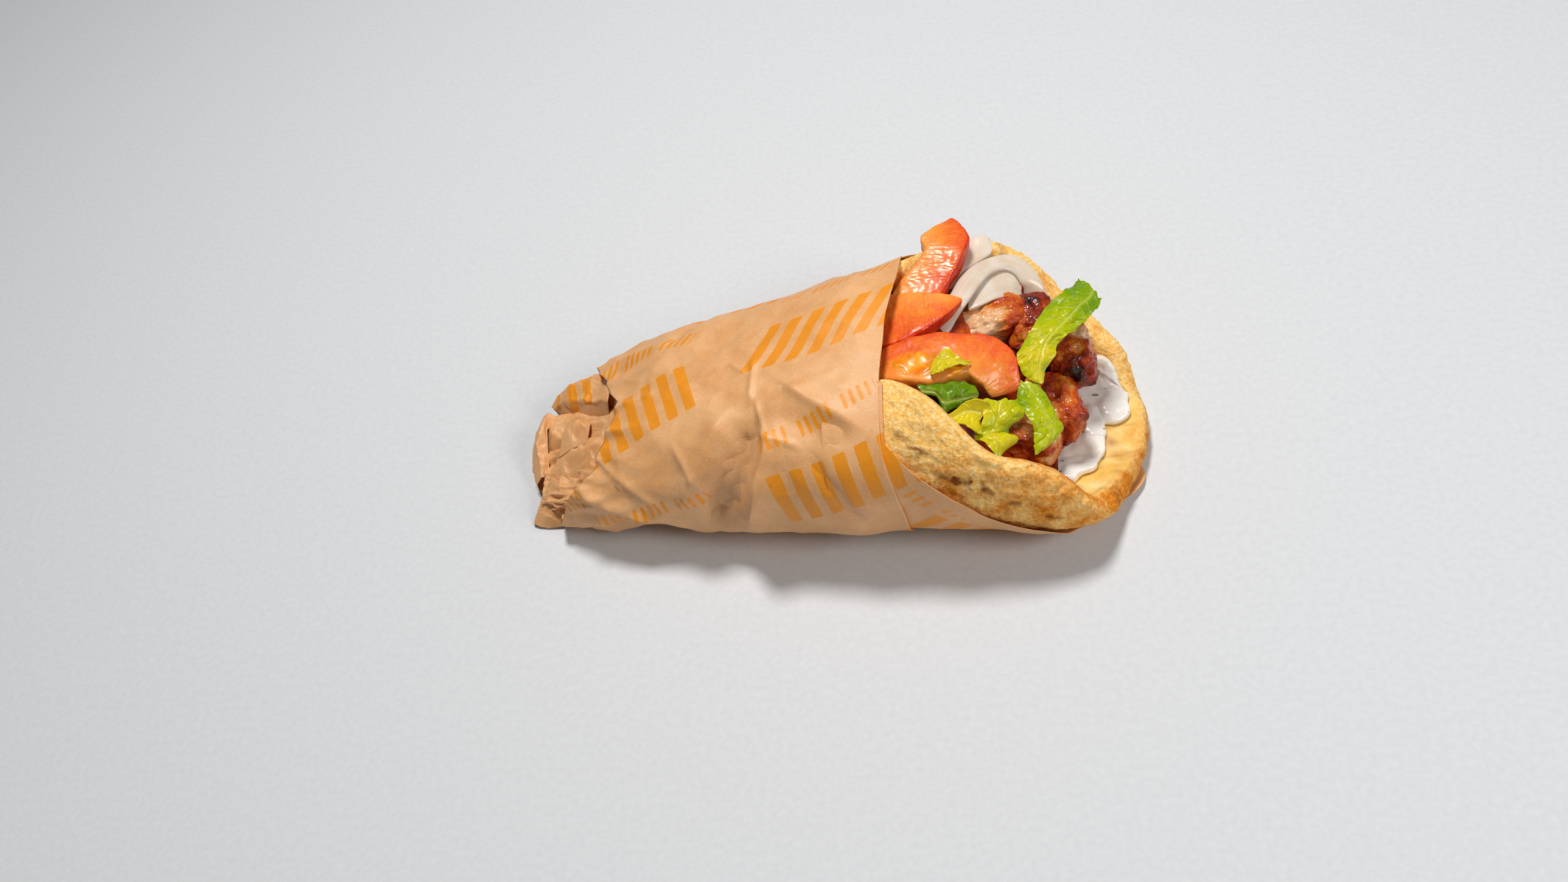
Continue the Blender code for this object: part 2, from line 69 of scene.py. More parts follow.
REACH_FAR = (1.0, 1.02, 1.02, 1.02, 1.02, 1.03, 1.04, 1.0, 0.88, 0.84, 0.86, 1.0, 1.0)


# %% Curves and steps
def curve(x, stations, values):
    """A smooth curve through (station, value) pairs: cubic Hermite pieces with mean slopes."""
    at, val = np.asarray(stations, float), np.asarray(values, float)
    slope = np.gradient(val, at, axis=0)
    x = np.clip(np.asarray(x, float), at[0], at[-1])
    i = np.clip(np.searchsorted(at, x, side="right") - 1, 0, len(at) - 2)
    step = at[i + 1] - at[i]
    t = (x - at[i]) / step
    if val.ndim > 1:
        t, step = t[..., None], step[..., None]
    a = (2 * t**3 - 3 * t**2 + 1) * val[i] + (t**3 - 2 * t**2 + t) * step * slope[i]
    return a + (3 * t**2 - 2 * t**3) * val[i + 1] + (t**3 - t**2) * step * slope[i + 1]


def smooth(t, low=0.0, high=1.0):
    """0 below low, 1 above high and an S between: 3t^2 - 2t^3."""
    t = np.clip((t - low) / (high - low), 0, 1)
    return t * t * (3 - 2 * t)


def bell(d, width):
    """1 at d = 0, falling to nothing within about two widths: exp(-(d / width)^2)."""
    return np.exp(-((d / width) ** 2))


def unit(v):
    """Vectors of length 1."""
    return v / np.maximum(np.linalg.norm(v, axis=-1, keepdims=True), 1e-9)


# %% [markdown]
# ## Natural unevenness
# Crust, meat, leaf and creased paper are all uneven at several sizes at once. Gradient noise
# gives that: every corner of a lattice has a random slope, and the slopes are blended
# between corners. Adding it to itself at half the size and half the height gives roughness
# upon roughness. Its zero crossings, folded up with abs(), give the sharp ridges of paper.

# %% Noise on whole arrays
def bumps(points, size, seed):
    """Gradient noise of about -1 to 1, with bumps of size mm."""
    rng = np.random.default_rng(seed)
    order = rng.permutation(256)
    slopes = unit(rng.normal(size=(256, 3)))
    q = np.asarray(points, float) / size + 100.0
    cell = np.floor(q).astype(int)
    f = q - cell
    fade = f**3 * (f * (6 * f - 15) + 10)
    total = 0.0
    for corner in np.ndindex(2, 2, 2):
        c = (cell + corner) & 255
        pick = order[(order[(order[c[..., 0]] + c[..., 1]) & 255] + c[..., 2]) & 255]
        weight = np.prod(np.where(np.array(corner) == 1, fade, 1 - fade), axis=-1)
        total = total + weight * ((f - corner) * slopes[pick]).sum(-1)
    return total * 1.7


def rough(points, size, seed, octaves=3):
    """Noise on noise: each octave has half the size and half the height of the last."""
    parts = [bumps(points, size / 2**k, seed + k) / 2**k for k in range(octaves)]
    return sum(parts)


def folds(points, size, seed, octaves=2):
    """Sharp-crested facets, as creased paper has: 1 - 2|noise|, on two scales."""
    parts = [(1 - 2 * np.abs(bumps(points, size / 2**k, seed + k))) / 2**k for k in range(octaves)]
    return sum(parts) - 0.6


# %% The wrap surface
GRID_X = np.linspace(-6, 214, 441)
GRID_U = np.linspace(0, 1, 241)


def side_table(wide, high):
    """Points (y, z) and the length of half a cross-section: |y/a|^n + |z/b|^n = 1, cut flat at FOOT."""
    turn = np.linspace(0, np.pi, 721)
    a = curve(GRID_X, STATION, wide)[:, None]
    b = curve(GRID_X, STATION, high)[:, None]
    y = a * np.sin(turn) ** (2 / POWER)
    z = b - b * np.sign(np.cos(turn)) * np.abs(np.cos(turn)) ** (2 / POWER)
    z = np.maximum(z - FOOT, 0)
    run = np.hypot(np.diff(y, axis=1), np.diff(z, axis=1)).cumsum(axis=1)
    run = np.hstack([np.zeros((len(run), 1)), run])
    rows = [[np.interp(GRID_U, r / r[-1], side) for side in sides] for r, *sides in zip(run, y, z)]
    return np.array(rows), run[:, -1]


NEAR, NEAR_LONG = side_table(NEAR_WIDE, NEAR_HIGH)
FAR, FAR_LONG = side_table(FAR_WIDE, FAR_HIGH)


def half_round(x, w):
    """The length of the half cross-section on w's side."""
    return np.where(w < 0, np.interp(x, GRID_X, NEAR_LONG), np.interp(x, GRID_X, FAR_LONG))


def wrap(x, w):
    """The wrap surface's point at (x, w), read from the two tables."""
    x, w = np.broadcast_arrays(np.asarray(x, float), np.asarray(w, float))
    u = np.clip(np.abs(w) / half_round(x, w), 0, 1) * (len(GRID_U) - 1)
    k = np.clip((x - GRID_X[0]) / (GRID_X[1] - GRID_X[0]), 0, len(GRID_X) - 1.001)
    i, j = k.astype(int), np.minimum(u.astype(int), len(GRID_U) - 2)
    s, t = k - i, u - j
    out = []
    for part in (0, 1):
        near, far = NEAR[:, part], FAR[:, part]
        ends = [np.where(w < 0, near[i + a, j + b], far[i + a, j + b]) for a in (0, 1) for b in (0, 1)]
        out.append((1 - s) * ((1 - t) * ends[0] + t * ends[1]) + s * ((1 - t) * ends[2] + t * ends[3]))
    return np.stack([x, np.sign(w) * out[0], out[1] + PAPER_GAP + PAPER], -1)


def outward(x, w):
    """The wrap surface's outward normal: the cross product of its two slopes."""
    along = wrap(x + 1.5, w) - wrap(x - 1.5, w)
    across = wrap(x, w + 1.5) - wrap(x, w - 1.5)
    return unit(np.cross(across, along))


def around(x, w, out):
    """A point out mm outside the wrap surface, or inside it where out is negative."""
    return wrap(x, w) + outward(x, w) * np.asarray(out)[..., None]


print("wrap surface:", len(GRID_X), "sections")

# %% [markdown]
# ## Making meshes
# Every new surface is a grid of points worked out at once. A sheet has four edges, a tube
# closes on itself and ends in two poles. UV maps hold the place on the flat sheet in metres,
# so that a print or a vein follows the surface, and marks are numbers at each point, such as
# how toasted the bread is there.

# %% Grids of points to meshes
PIECES = []


def put(name, data):
    """Puts a new object with this data in the scene."""
    obj = bpy.data.objects.new(name, data)
    bpy.context.scene.collection.objects.link(obj)
    return obj


def mesh_of(name, points, faces, material, marks=None, uvs=None):
    """Makes an object in metres from points in mm, with its place in its mesh."""
    mesh = bpy.data.meshes.new(name)
    mesh.from_pydata((points - ORIGIN) / 1000, [], [list(f) for f in faces])
    for key, value in (marks or {}).items():
        mark = mesh.attributes.new(key, "FLOAT", "POINT")
        mark.data.foreach_set("value", np.asarray(value, np.float32).ravel())
    for key, value in (uvs or {}).items():
        layer = mesh.uv_layers.new(name=key)
        layer.uv.foreach_set("vector", np.asarray(value, np.float32).ravel())
    mesh.materials.append(material)
    mesh.shade_smooth()
    obj = put(name, mesh)
    PIECES.append(obj)
    return obj


def corners(rows, cols, closed):
    """Row and column of each quad's four corners; in a closed grid the last column meets the first."""
    i, j = np.meshgrid(np.arange(rows - 1), np.arange(cols if closed else cols - 1), indexing="ij")
    down, over = np.stack([i, i, i + 1, i + 1], -1), np.stack([j, j + 1, j + 1, j], -1)
    return down.reshape(-1, 4), over.reshape(-1, 4)


def placed(key, value):
    """UV values at the corners of faces: the print's are first laid on its motifs."""
    return stamped(value) if key == "print" else value


def sheet_mesh(name, points, material, marks=None, uvs=None, turn_over=False):
    """An open sheet from a (rows, columns, 3) array."""
    rows, cols = points.shape[:2]
    i, j = corners(rows, cols, False)
    if turn_over:
        i, j = i[:, ::-1], j[:, ::-1]
    uvs = {key: placed(key, value[i, j]) for key, value in (uvs or {}).items()}
    return mesh_of(name, points.reshape(-1, 3), (i * cols + j).tolist(), material, marks, uvs)


def tube_mesh(name, rings, poles, material, marks=None, uvs=None):
    """A closed body from a (rings, around, 3) array and a pole at each end, facing outwards."""
    rows, cols = rings.shape[:2]
    i, j = corners(rows, cols, True)
    first, last = rows * cols, (rows - 1) * cols
    a = np.arange(cols)
    b = (a + 1) % cols
    fans = [np.stack([np.full(cols, first), b, a], -1),
            np.stack([np.full(cols, first + 1), last + a, last + b], -1)]
    corner_uvs = {}
    for key, value in (uvs or {}).items():
        tips = [placed(key, np.repeat(value[row, :cols][:, None], 3, 1)) for row in (0, rows - 1)]
        corner_uvs[key] = np.concatenate([part.reshape(-1, 2) for part in (placed(key, value[i, j]), *tips)])
    marks = {key: np.append(np.asarray(value).ravel(), [np.mean(value[0]), np.mean(value[-1])])
             for key, value in (marks or {}).items()}
    points = np.vstack([rings.reshape(-1, 3), poles])
    every = (i * cols + j % cols).tolist() + fans[0].tolist() + fans[1].tolist()
    obj = mesh_of(name, points, every, material, marks, corner_uvs)
    work = bmesh.new()
    work.from_mesh(obj.data)
    if work.calc_volume(signed=True) < 0:
        obj.data.flip_normals()
    work.free()
    return obj


def finish(obj, node):
    """Hangs a piece on the part: it rides on the one body and stands for a solid."""
    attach(obj, "root")
    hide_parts(node)
    print(obj.name, len(obj.data.polygons), "faces, for", node)
    return obj


# %% [markdown]
# ## Materials
# Colours are written as sRGB hex values, as a colour picker gives them, and turned to the
# linear values that light is worked out in. One function adds a node with its settings and
# links, so a material reads as a list of steps.

# %% Colour and node helpers
def linear(code):
    """sRGB hex to linear RGBA: c / 12.92 below 0.04045, else ((c + 0.055) / 1.055)^2.4."""
    part = np.array([int(code[i:i + 2], 16) / 255 for i in (0, 2, 4)])
    line = np.where(part <= 0.04045, part / 12.92, ((part + 0.055) / 1.055) ** 2.4)
    return (*line, 1.0)


def wire(tree, node, inputs):
    """Gives a node its inputs: another node's output is linked, and a value is set."""
    for key, value in inputs.items():
        if isinstance(value, bpy.types.NodeSocket):
            tree.links.new(value, node.inputs[key])
        else:
            node.inputs[key].default_value = value


def add(tree, kind, inputs=None, stops=(), out=0, **settings):
    """Adds a shader node with its settings, inputs and (place, hex) colour stops, and gives one output."""
    made = tree.nodes.new("ShaderNode" + kind)
    for key, value in settings.items():
        setattr(made, key, value)
    wire(tree, made, inputs or {})
    for number, (place, tone) in enumerate(stops):
        ramp = made.color_ramp.elements
        stop = ramp[number] if number < 2 else ramp.new(place)
        stop.position = place
        stop.color = linear(tone)
    return made.outputs[out]


def new_material(name):
    """A material with its tree and its Principled shader."""
    made = bpy.data.materials.new(name)
    made.use_nodes = True
    print("material", name)
    return made, made.node_tree, made.node_tree.nodes["Principled BSDF"]


def uneven(tree, value, pattern, share):
    """A number made uneven by a noise that lies around a half: value + share * (pattern - 0.5)."""
    start = add(tree, "Math", {0: value, 1: -share / 2}, operation="ADD")
    return add(tree, "Math", {0: pattern, 1: share, 2: start}, operation="MULTIPLY_ADD")


# %% [markdown]
# ### Kraft paper with an orange print
# Machine-glazed kraft is thin brown paper with one satin face. Its fibres show as a fine
# mottle, and the ink lies in it without a raised edge. The print is plain: groups of slanted
# bars like the marks of a grill, and rows of short ticks. A material could repeat them by
# itself, but then they would all lie the same way, so each face is told its place on the
# nearest motif, and the material only draws one group of bars and one row of ticks.

# %% The print, in mm on the flat sheet
PRINT = (
    # bars, then ticks: height of the row, pitch, width, height, length of the row, and of a
    # cell of the row its length and the length of its inked part
    (0.0, 7.8, 4.5, 16.5, 51.3, 51.3, 51.3),
    (100.0, 2.9, 1.35, 4.8, 46.0, 17.4, 14.5),
)
SLANT, INK_ROUND = 0.22, 0.6
MOTIFS = (
    # x, w, angle in degrees, and 0 for a group of bars or 1 for a row of ticks
    (113, 108, 19, 0), (46, -76, -38, 0), (119, -73, -27, 0), (72, -24, -16, 0), (74, 60, 24, 0),
    (118, 30, 20, 0), (40, 14, 15, 0), (160, -42, 30, 0), (178, 24, 12, 0), (12, -64, -52, 0),
    (113, 85, 19, 1), (110, -90, -35, 1), (50, -46, -24, 1), (44, 68, 28, 1), (96, 0, 4, 1),
    (150, -58, 42, 1), (84, 36, 24, 1), (146, 4, 10, 1), (10, -30, -40, 1),
)
BOX_MARGIN, BARS_FIRST = 2, 0.01


def stamped(flat):
    """The place on the nearest motif, for the corners of every face.

    flat holds (x, w, girth) at the corners. A face across the seam has its corners brought to
    one side: w - girth * round((w - w_first) / girth). A motif is turned into its own axes, and
    the face goes to the motif whose box is nearest to its middle, or to bars where they are level."""
    best, least = np.zeros(flat.shape[:2] + (2,)), np.full(len(flat), np.inf)
    laps = np.round((flat[..., 1] - flat[:, :1, 1]) / flat[..., 2])
    flat = np.stack([flat[..., 0], flat[..., 1] - laps * flat[..., 2], flat[..., 2]], -1)
    for x, w, angle, kind in MOTIFS:
        a = np.radians(angle)
        row, _, _, tall, long, _, _ = PRINT[kind]
        half = np.array((long, tall)) / 2
        for lap in (0, -1, 1):
            dx, dw = flat[..., 0] - x, flat[..., 1] + lap * flat[..., 2] - w
            local = np.stack([dx * np.cos(a) + dw * np.sin(a), dw * np.cos(a) - dx * np.sin(a)], -1)
            beyond = np.maximum(np.abs(local.mean(1)) - half - BOX_MARGIN, 0)
            away = np.linalg.norm(beyond, axis=-1) + kind * BARS_FIRST
            local[..., 1] += row
            closer = away < least
            best, least = np.where(closer[:, None, None], local, best), np.where(closer, away, least)
    return best / 1000


def pill(tree, across, up, wide, tall):
    """1 inside a rounded bar: length(max(|place| - core, 0)) is under the rounding of its corners."""
    place = add(tree, "VectorMath", {0: add(tree, "CombineXYZ", {0: across, 1: up})}, operation="ABSOLUTE")
    core = (wide / 2 - INK_ROUND, tall / 2 - INK_ROUND, 0.0)
    beyond = add(tree, "VectorMath", {0: place, 1: core}, operation="SUBTRACT")
    beyond = add(tree, "VectorMath", {0: beyond, 1: (0.0, 0.0, 0.0)}, operation="MAXIMUM")
    away = add(tree, "VectorMath", {0: beyond}, out=1, operation="LENGTH")
    return add(tree, "Math", {0: away, 1: INK_ROUND}, operation="LESS_THAN")


def print_mask(tree):
    """Where the ink is: a pill at each pitch, kept if it lies inside its cell and its row."""
    place = add(tree, "UVMap", uv_map="print")
    place = add(tree, "VectorMath", {0: place, 1: (1000.0, 1000.0, 1000.0)}, operation="MULTIPLY")
    p, q = add(tree, "SeparateXYZ", {0: place}).node.outputs[:2]
    ink = 0.0
    for row, pitch, wide, tall, long, cell, inked in PRINT:
        up = add(tree, "Math", {0: q, 1: row}, operation="SUBTRACT")
        along = add(tree, "Math", {0: up, 1: SLANT, 2: p}, operation="MULTIPLY_ADD")
        in_pitch, in_cell = (add(tree, "Math", {0: along, 1: step / 2, 2: -step / 2}, operation="WRAP")
                             for step in (pitch, cell))
        bar = pill(tree, in_pitch, up, wide, tall)
        for value, reach in ((in_cell, inked / 2), (along, long / 2)):
            close = add(tree, "Math", {0: value, 1: 0.0, 2: reach}, operation="COMPARE")
            bar = add(tree, "Math", {0: bar, 1: close}, operation="MULTIPLY")
        ink = add(tree, "Math", {0: bar, 1: ink}, operation="MAXIMUM")
    return ink


# %% Kraft paper
def kraft_paper():
    """Glazed kraft: satin, fibrous, with the ink taken up a little unevenly."""
    made, tree, shader = new_material("glazed_kraft_paper")
    place = add(tree, "TexCoord", out="Object")
    drawn = add(tree, "Mapping", {0: place, "Scale": (1.0, 2.4, 2.4)})
    fibre = add(tree, "TexNoise", {"Vector": drawn, "Scale": 1000 / 0.9, "Detail": 3.0, "Roughness": 0.6})
    cloud = add(tree, "TexNoise", {"Vector": place, "Scale": 1000 / 9, "Detail": 3.0})
    cockle = add(tree, "TexNoise", {"Vector": place, "Scale": 1000 / 4, "Detail": 4.0, "Roughness": 0.6})
    base = add(tree, "ValToRGB", {0: fibre}, ((0.3, "da995c"), (0.72, "f0ba80")))
    tint = add(tree, "ValToRGB", {0: cloud}, ((0.35, "de9f64"), (0.65, "f3c28e")))
    base = add(tree, "Mix", {0: 0.35, 6: base, 7: tint}, out=2, data_type="RGBA")
    ink = add(tree, "ValToRGB", {0: fibre}, ((0.25, "e88a02"), (0.75, "f59c06")))
    taken_up = add(tree, "MapRange", {0: fibre, 1: 0.2, 2: 0.42, 3: 0.72, 4: 0.97})
    worn = add(tree, "Math", {0: print_mask(tree), 1: taken_up}, operation="MULTIPLY")
    height = add(tree, "Math", {0: fibre, 1: 0.35, 2: cockle}, operation="MULTIPLY_ADD")
    wire(tree, shader, {
        "Base Color": add(tree, "Mix", {0: worn, 6: base, 7: ink}, out=2, data_type="RGBA"),
        "Roughness": add(tree, "MapRange", {0: cloud, 1: 0.3, 2: 0.7, 3: 0.42, 4: 0.56}),
        "Specular IOR Level": 0.55,
        "Normal": add(tree, "Bump", {"Strength": 0.35, "Distance": 0.0002, "Height": height}),
    })
    return made


PAPER_LOOK = kraft_paper()

# %% [markdown]
# ### The sleeve
# One sheet of paper is rolled round the bread, with its mouth cut off square, and its other
# end is crushed shut. It could be simulated, but a crumple that has to fall in the same
# place on every run is easier to shape: each dent and crease is a line with a height and a
# width, added along the surface's normal, and small facets of noise lie over all of it.

# %% Creases
CREASES = (
    # (x, w) of each end, height, width, and how much steeper the lower side is
    (104, -98, 118, -92, 1.2, 3.2, 1.3), (104, -98, 97, -91, 0.9, 2.8, 1.3),
    (92, -88, 94, -81, 0.55, 1.3, 1.0), (94, -81, 102, -81, 0.6, 1.3, 1.5),
    (86, -74, 75, -54, -5.5, 3.8, 1.0), (94, -75, 86, -55, 3.0, 3.2, 1.0),
    (77, -77, 66, -58, 1.9, 3.4, 1.0), (70, -40, 92, -46, 1.1, 2.0, 2.0),
    (89, -103, 89, -93, 0.7, 1.4, 1.0), (13, -38, 30, -45, 1.6, 2.4, 2.0), (30, -45, 44, -43, 1.4, 2.4, 2.2),
    (44, -43, 66, -36, 1.0, 2.6, 2.0), (28, -66, 44, -71, 0.8, 1.8, 1.0), (34, -76, 50, -84, 0.7, 1.6, 1.3),
    (33, -58, 50, -50, 0.7, 1.8, 1.2), (72, -106, 84, -101, 0.6, 1.4, 1.0), (40, -92, 58, -97, 0.8, 1.8, 1.0),
    (110, -76, 118, -62, -0.9, 2.2, 1.0), (64, -66, 70, -58, 0.6, 1.5, 1.0),
    (88, 60, 110, 74, 1.2, 3.0, 1.0), (60, 70, 78, 52, -1.2, 3.0, 1.0), (44, 50, 66, 40, 1.0, 2.0, 1.0),
    (100, 40, 122, 52, -0.9, 2.4, 1.0), (34, 60, 52, 72, 1.0, 2.0, 1.0), (36, 34, 56, 22, -1.2, 2.4, 1.0),
)
DENTS = (
    # x, w, depth, and half-lengths along and across
    (111, -87, -2.3, 10, 5.5), (37, -37, -1.7, 8, 5), (91, -64, 1.6, 5.5, 6), (60, -60, -1.0, 9, 6),
    (70, 86, -1.4, 12, 8), (100, 62, -1.2, 9, 8), (54, 36, -1.5, 9, 8), (120, -66, 0.8, 8, 5),
)
CREASE_LIFT = 1.35


def creases(x, w):
    """All crease lines, height * exp(-distance / width) fading beyond their ends, and all dents."""
    total = 0.0
    for x0, w0, x1, w1, high, wide, steep in CREASES:
        run = np.hypot(x1 - x0, w1 - w0)
        way = np.array([x1 - x0, w1 - w0]) / run
        along = (x - x0) * way[0] + (w - w0) * way[1]
        aside = (w - w0) * way[0] - (x - x0) * way[1]
        past = np.maximum(np.maximum(-along, along - run), 0)
        aside = np.where(aside > 0, aside * steep, aside)
        sharp = np.exp(-np.abs(aside) / wide) * 0.55 + bell(aside, wide) * 0.45
        total = total + CREASE_LIFT * high * sharp * bell(past, wide * 2.2)
    for x0, w0, deep, long, broad in DENTS:
        total = total + deep * bell(np.hypot((x - x0) / long, (w - w0) / broad), 1.0)
    return total


def flat_sheet(x, w):
    """The place on the unrolled sheet, and the girth there, in mm."""
    x, w = np.broadcast_arrays(x, w)
    return np.stack([x, w, half_round(x, -1.0 + 0 * x) + half_round(x, 1.0 + 0 * x)], -1)


def paper_stand_off(x, w):
    """How far the paper stands off: broad dents, facets, creases and the pleats of the tail."""
    turn = w / half_round(x, w) * np.pi
    point = np.stack([x * 0.8, 40 * np.cos(turn), 40 * np.sin(turn)], -1)
    tail = 1 - smooth(x, 8, 60)
    near_mouth = 1 - smooth(x, 118, 132)
    broad = 0.9 + 1.0 * bumps(point, 34, 5)
    facets = (0.42 + 1.1 * tail) * folds(point, 15, 8)
    pleats = tail**1.5 * 2.2 * folds(np.stack([x * 0.25, 30 * np.cos(turn), 30 * np.sin(turn)], -1), 11, 12)
    lift = (broad + facets + pleats + creases(x, w)) * (0.12 + 0.88 * near_mouth)
    under = smooth(np.abs(w), 8, 24)
    # well behind the mouth the bread inside is hollowed, which leaves room for deep creases
    room = 0.9 + 2.2 * (1 - smooth(x, 108, 120))
    return np.clip(lift, -room, 6.0) * under


# %% Build the sleeve
START_AT = (-1, -0.85, -0.7, -0.55, -0.42, -0.25, 0, 0.3, 0.6, 0.85, 1)
START = (38.5, 36, 30, 18.5, 10, 8, 12, 17, 22, 31, 38.5)
OUTER_FACE, INNER_FACE, OFF_TABLE = 1.45, 1.2, 0.02
INSIDE_FROM, CAP_CENTRE, CAP_DISH = 38.0, np.array([30.0, 1.0, 13.0]), np.array([9.0, 0, 0])


def mouth_line(u):
    """Where the outer layer ends."""
    return MOUTH - 4.5 * smooth(-u, 0.45, 0.72) + smooth(-u, 0.85, 1) - 3.5 * smooth(u, 0.75, 1)


def sleeve():
    """The outer layer: a skin from the crushed end to the mouth, a lip, and a wall back inside."""
    cols, rows, back = 300, 190, 20
    u = -1 + 2 * np.arange(cols + 1) / cols
    u = np.where(u >= 1, 1 - 1e-9, u)
    # the seam lies along the top, so the columns start at the bottom instead
    u = (u + 1) % 2
    u = np.where(u > 1, u - 2, u)
    u[-1] = -1e-6
    end = mouth_line(u)
    round_end = np.stack([u * 0, 9 * np.cos(u * np.pi), 9 * np.sin(u * np.pi)], -1)
    start = curve(u, START_AT, START) + 1.6 * bumps(round_end, 4, 3)

    def skin(first, s, out):
        """One face of the layer, drawn in a little along its top line at the mouth."""
        x = first + (end - first) * s[:, None]
        w = u * half_round(x, u + 0 * x)
        snug = 0.4 * smooth(np.abs(w), 86, 92) * smooth(x, 116, 130)
        points = around(x, w, paper_stand_off(x, w) + out - snug)
        points[..., 2] = np.maximum(points[..., 2], OFF_TABLE)
        return points, flat_sheet(x, w)

    outside, flat = skin(start, np.linspace(0, 1, rows), OUTER_FACE)
    inside, flat_in = skin(INSIDE_FROM, np.linspace(1, 0, back), INNER_FACE)
    # the cap goes from its centre to the rim by sin(t pi / 2), dished inwards by 1 - t^3
    t = np.linspace(0, 1, 14)[:-1, None, None]
    cap = CAP_CENTRE + (outside[0] - CAP_CENTRE) * np.sin(t * np.pi / 2) + CAP_DISH * (1 - t**3)
    cap[..., 0] += 1.4 * bumps(cap * [0.3, 1, 1], 7, 9) * (1 - t[..., 0])
    flat_cap = flat[:1] - (1 - t) * np.array([16.0, 0.0, 0.0])
    rings = np.concatenate([cap, outside, inside])[:, :-1]
    poles = [cap[0].mean(0) + [1, 0, 0], inside[-1].mean(0) - [3, 0, 0]]
    flat = np.concatenate([flat_cap, flat, flat_in])
    return tube_mesh("sleeve_paper", rings, poles, PAPER_LOOK, uvs={"print": flat})


finish(sleeve(), "paper_sleeve")

# %% [markdown]
# ### The inner layer
# Below the mouth a second layer of the same sheet runs on under the bread. Only its near
# edge and its corner show, beside and below the bread.

# %% Build the inner layer
TONGUE_AT = (-85, -78, -74, -65, -58, -54, -50, -45, -17, 0, 30, 60, 84)
TONGUE = (131, 138, 143, 154, 162, 172, 181, 184, 207.5, 198, 184, 160, 134)


def inner_layer():
    """A sheet from inside the sleeve to its free edge, with a rounded cut."""
    w = np.linspace(-104, 92, 240)
    s = np.linspace(0, 1, 120)[:, None]
    end = np.maximum(curve(w, TONGUE_AT, TONGUE), 122)
    x = 112 + (end - 112) * s
    turn = w / 100
    point = np.stack([x, 60 * np.cos(turn) + 0 * x, 60 * np.sin(turn) + 0 * x], -1)
    facets = 0.28 * folds(point, 13, 31) * smooth(np.abs(w), 10, 30)
    lift = facets + 0.5 * smooth(x, 150, 185) * smooth(-w, 30, 50)
    points = around(x, w, PAPER_GAP + 0.1 + np.clip(lift, -0.3, 1.2))
    points[..., 2] = np.maximum(points[..., 2], 0.15)
    flat = flat_sheet(x, w + 0 * x)
    return sheet_mesh("sleeve_inner_layer", points, PAPER_LOOK, uvs={"print": flat}, turn_over=True)


def thicken(obj, thick_mm):
    """Gives a sheet its thickness, inwards."""
    solid = obj.modifiers.new("thickness", "SOLIDIFY")
    solid.thickness = thick_mm / 1000
    solid.offset = -1
    return obj


thicken(finish(inner_layer(), "paper_sleeve"), 0.2)

# %% [markdown]
# ### The crumpled tail
# Past the sleeve's crushed end the spare paper sticks out in stiff folds. Folded paper is
# flat between its creases, so each fold starts as a small net of control points, is filled
# in straight lines, and only then has its creases rounded a little. Under the folds lies the
# gathered paper itself, one pleated body that closes the end.

# %% Folds of paper from control nets
def fill_in(net, steps, passes):
    """A fine grid from a coarse net: straight between its points, then averaged with neighbours."""
    net = np.asarray(net, float)
    for axis in (0, 1):
        count = net.shape[axis]
        at = np.linspace(0, count - 1, (count - 1) * steps + 1)
        low = np.minimum(at.astype(int), count - 2)
        part = at - low
        shape = [1, 1, 1]
        shape[axis] = -1
        part = part.reshape(shape)
        net = np.take(net, low, axis) * (1 - part) + np.take(net, low + 1, axis) * part
    for _ in range(passes):
        inner = net.copy()
        inner[1:-1] = 0.5 * net[1:-1] + 0.25 * (net[2:] + net[:-2])
        net = inner.copy()
        net[:, 1:-1] = 0.5 * inner[:, 1:-1] + 0.25 * (inner[:, 2:] + inner[:, :-2])
    return net


def fold(number, net, shift):
    """One fold of the tail: its net, and where on the print it was cut from."""
    points = fill_in(net, 16, 1)
    steps = [np.minimum(np.arange(n), np.arange(n)[::-1]) for n in points.shape[:2]]
    inward = smooth(np.minimum(steps[0][:, None], steps[1]), 0, 10) * 0.8 + 0.2
    crumple = 1.7 * folds(points, 11.0, 60 + number, 1) + 0.6 * folds(points, 5.0, 70 + number, 2)
    points = points + (crumple * inward)[..., None] * np.array([0.55, 0.5, 0.9])
    points[..., 2] = np.maximum(points[..., 2], 0.3)
    along = np.cumsum(np.linalg.norm(np.diff(points, axis=0, prepend=points[:1]), axis=-1), axis=0)
    across = np.cumsum(np.linalg.norm(np.diff(points, axis=1, prepend=points[:, :1]), axis=-1), axis=1)
    flat = np.stack([along + shift[0], across + shift[1], 0 * along + 500.0], -1)
    obj = sheet_mesh(f"tail_fold_{number}", points, PAPER_LOOK, uvs={"print": flat})
    return thicken(finish(obj, "paper_sleeve"), 0.22)


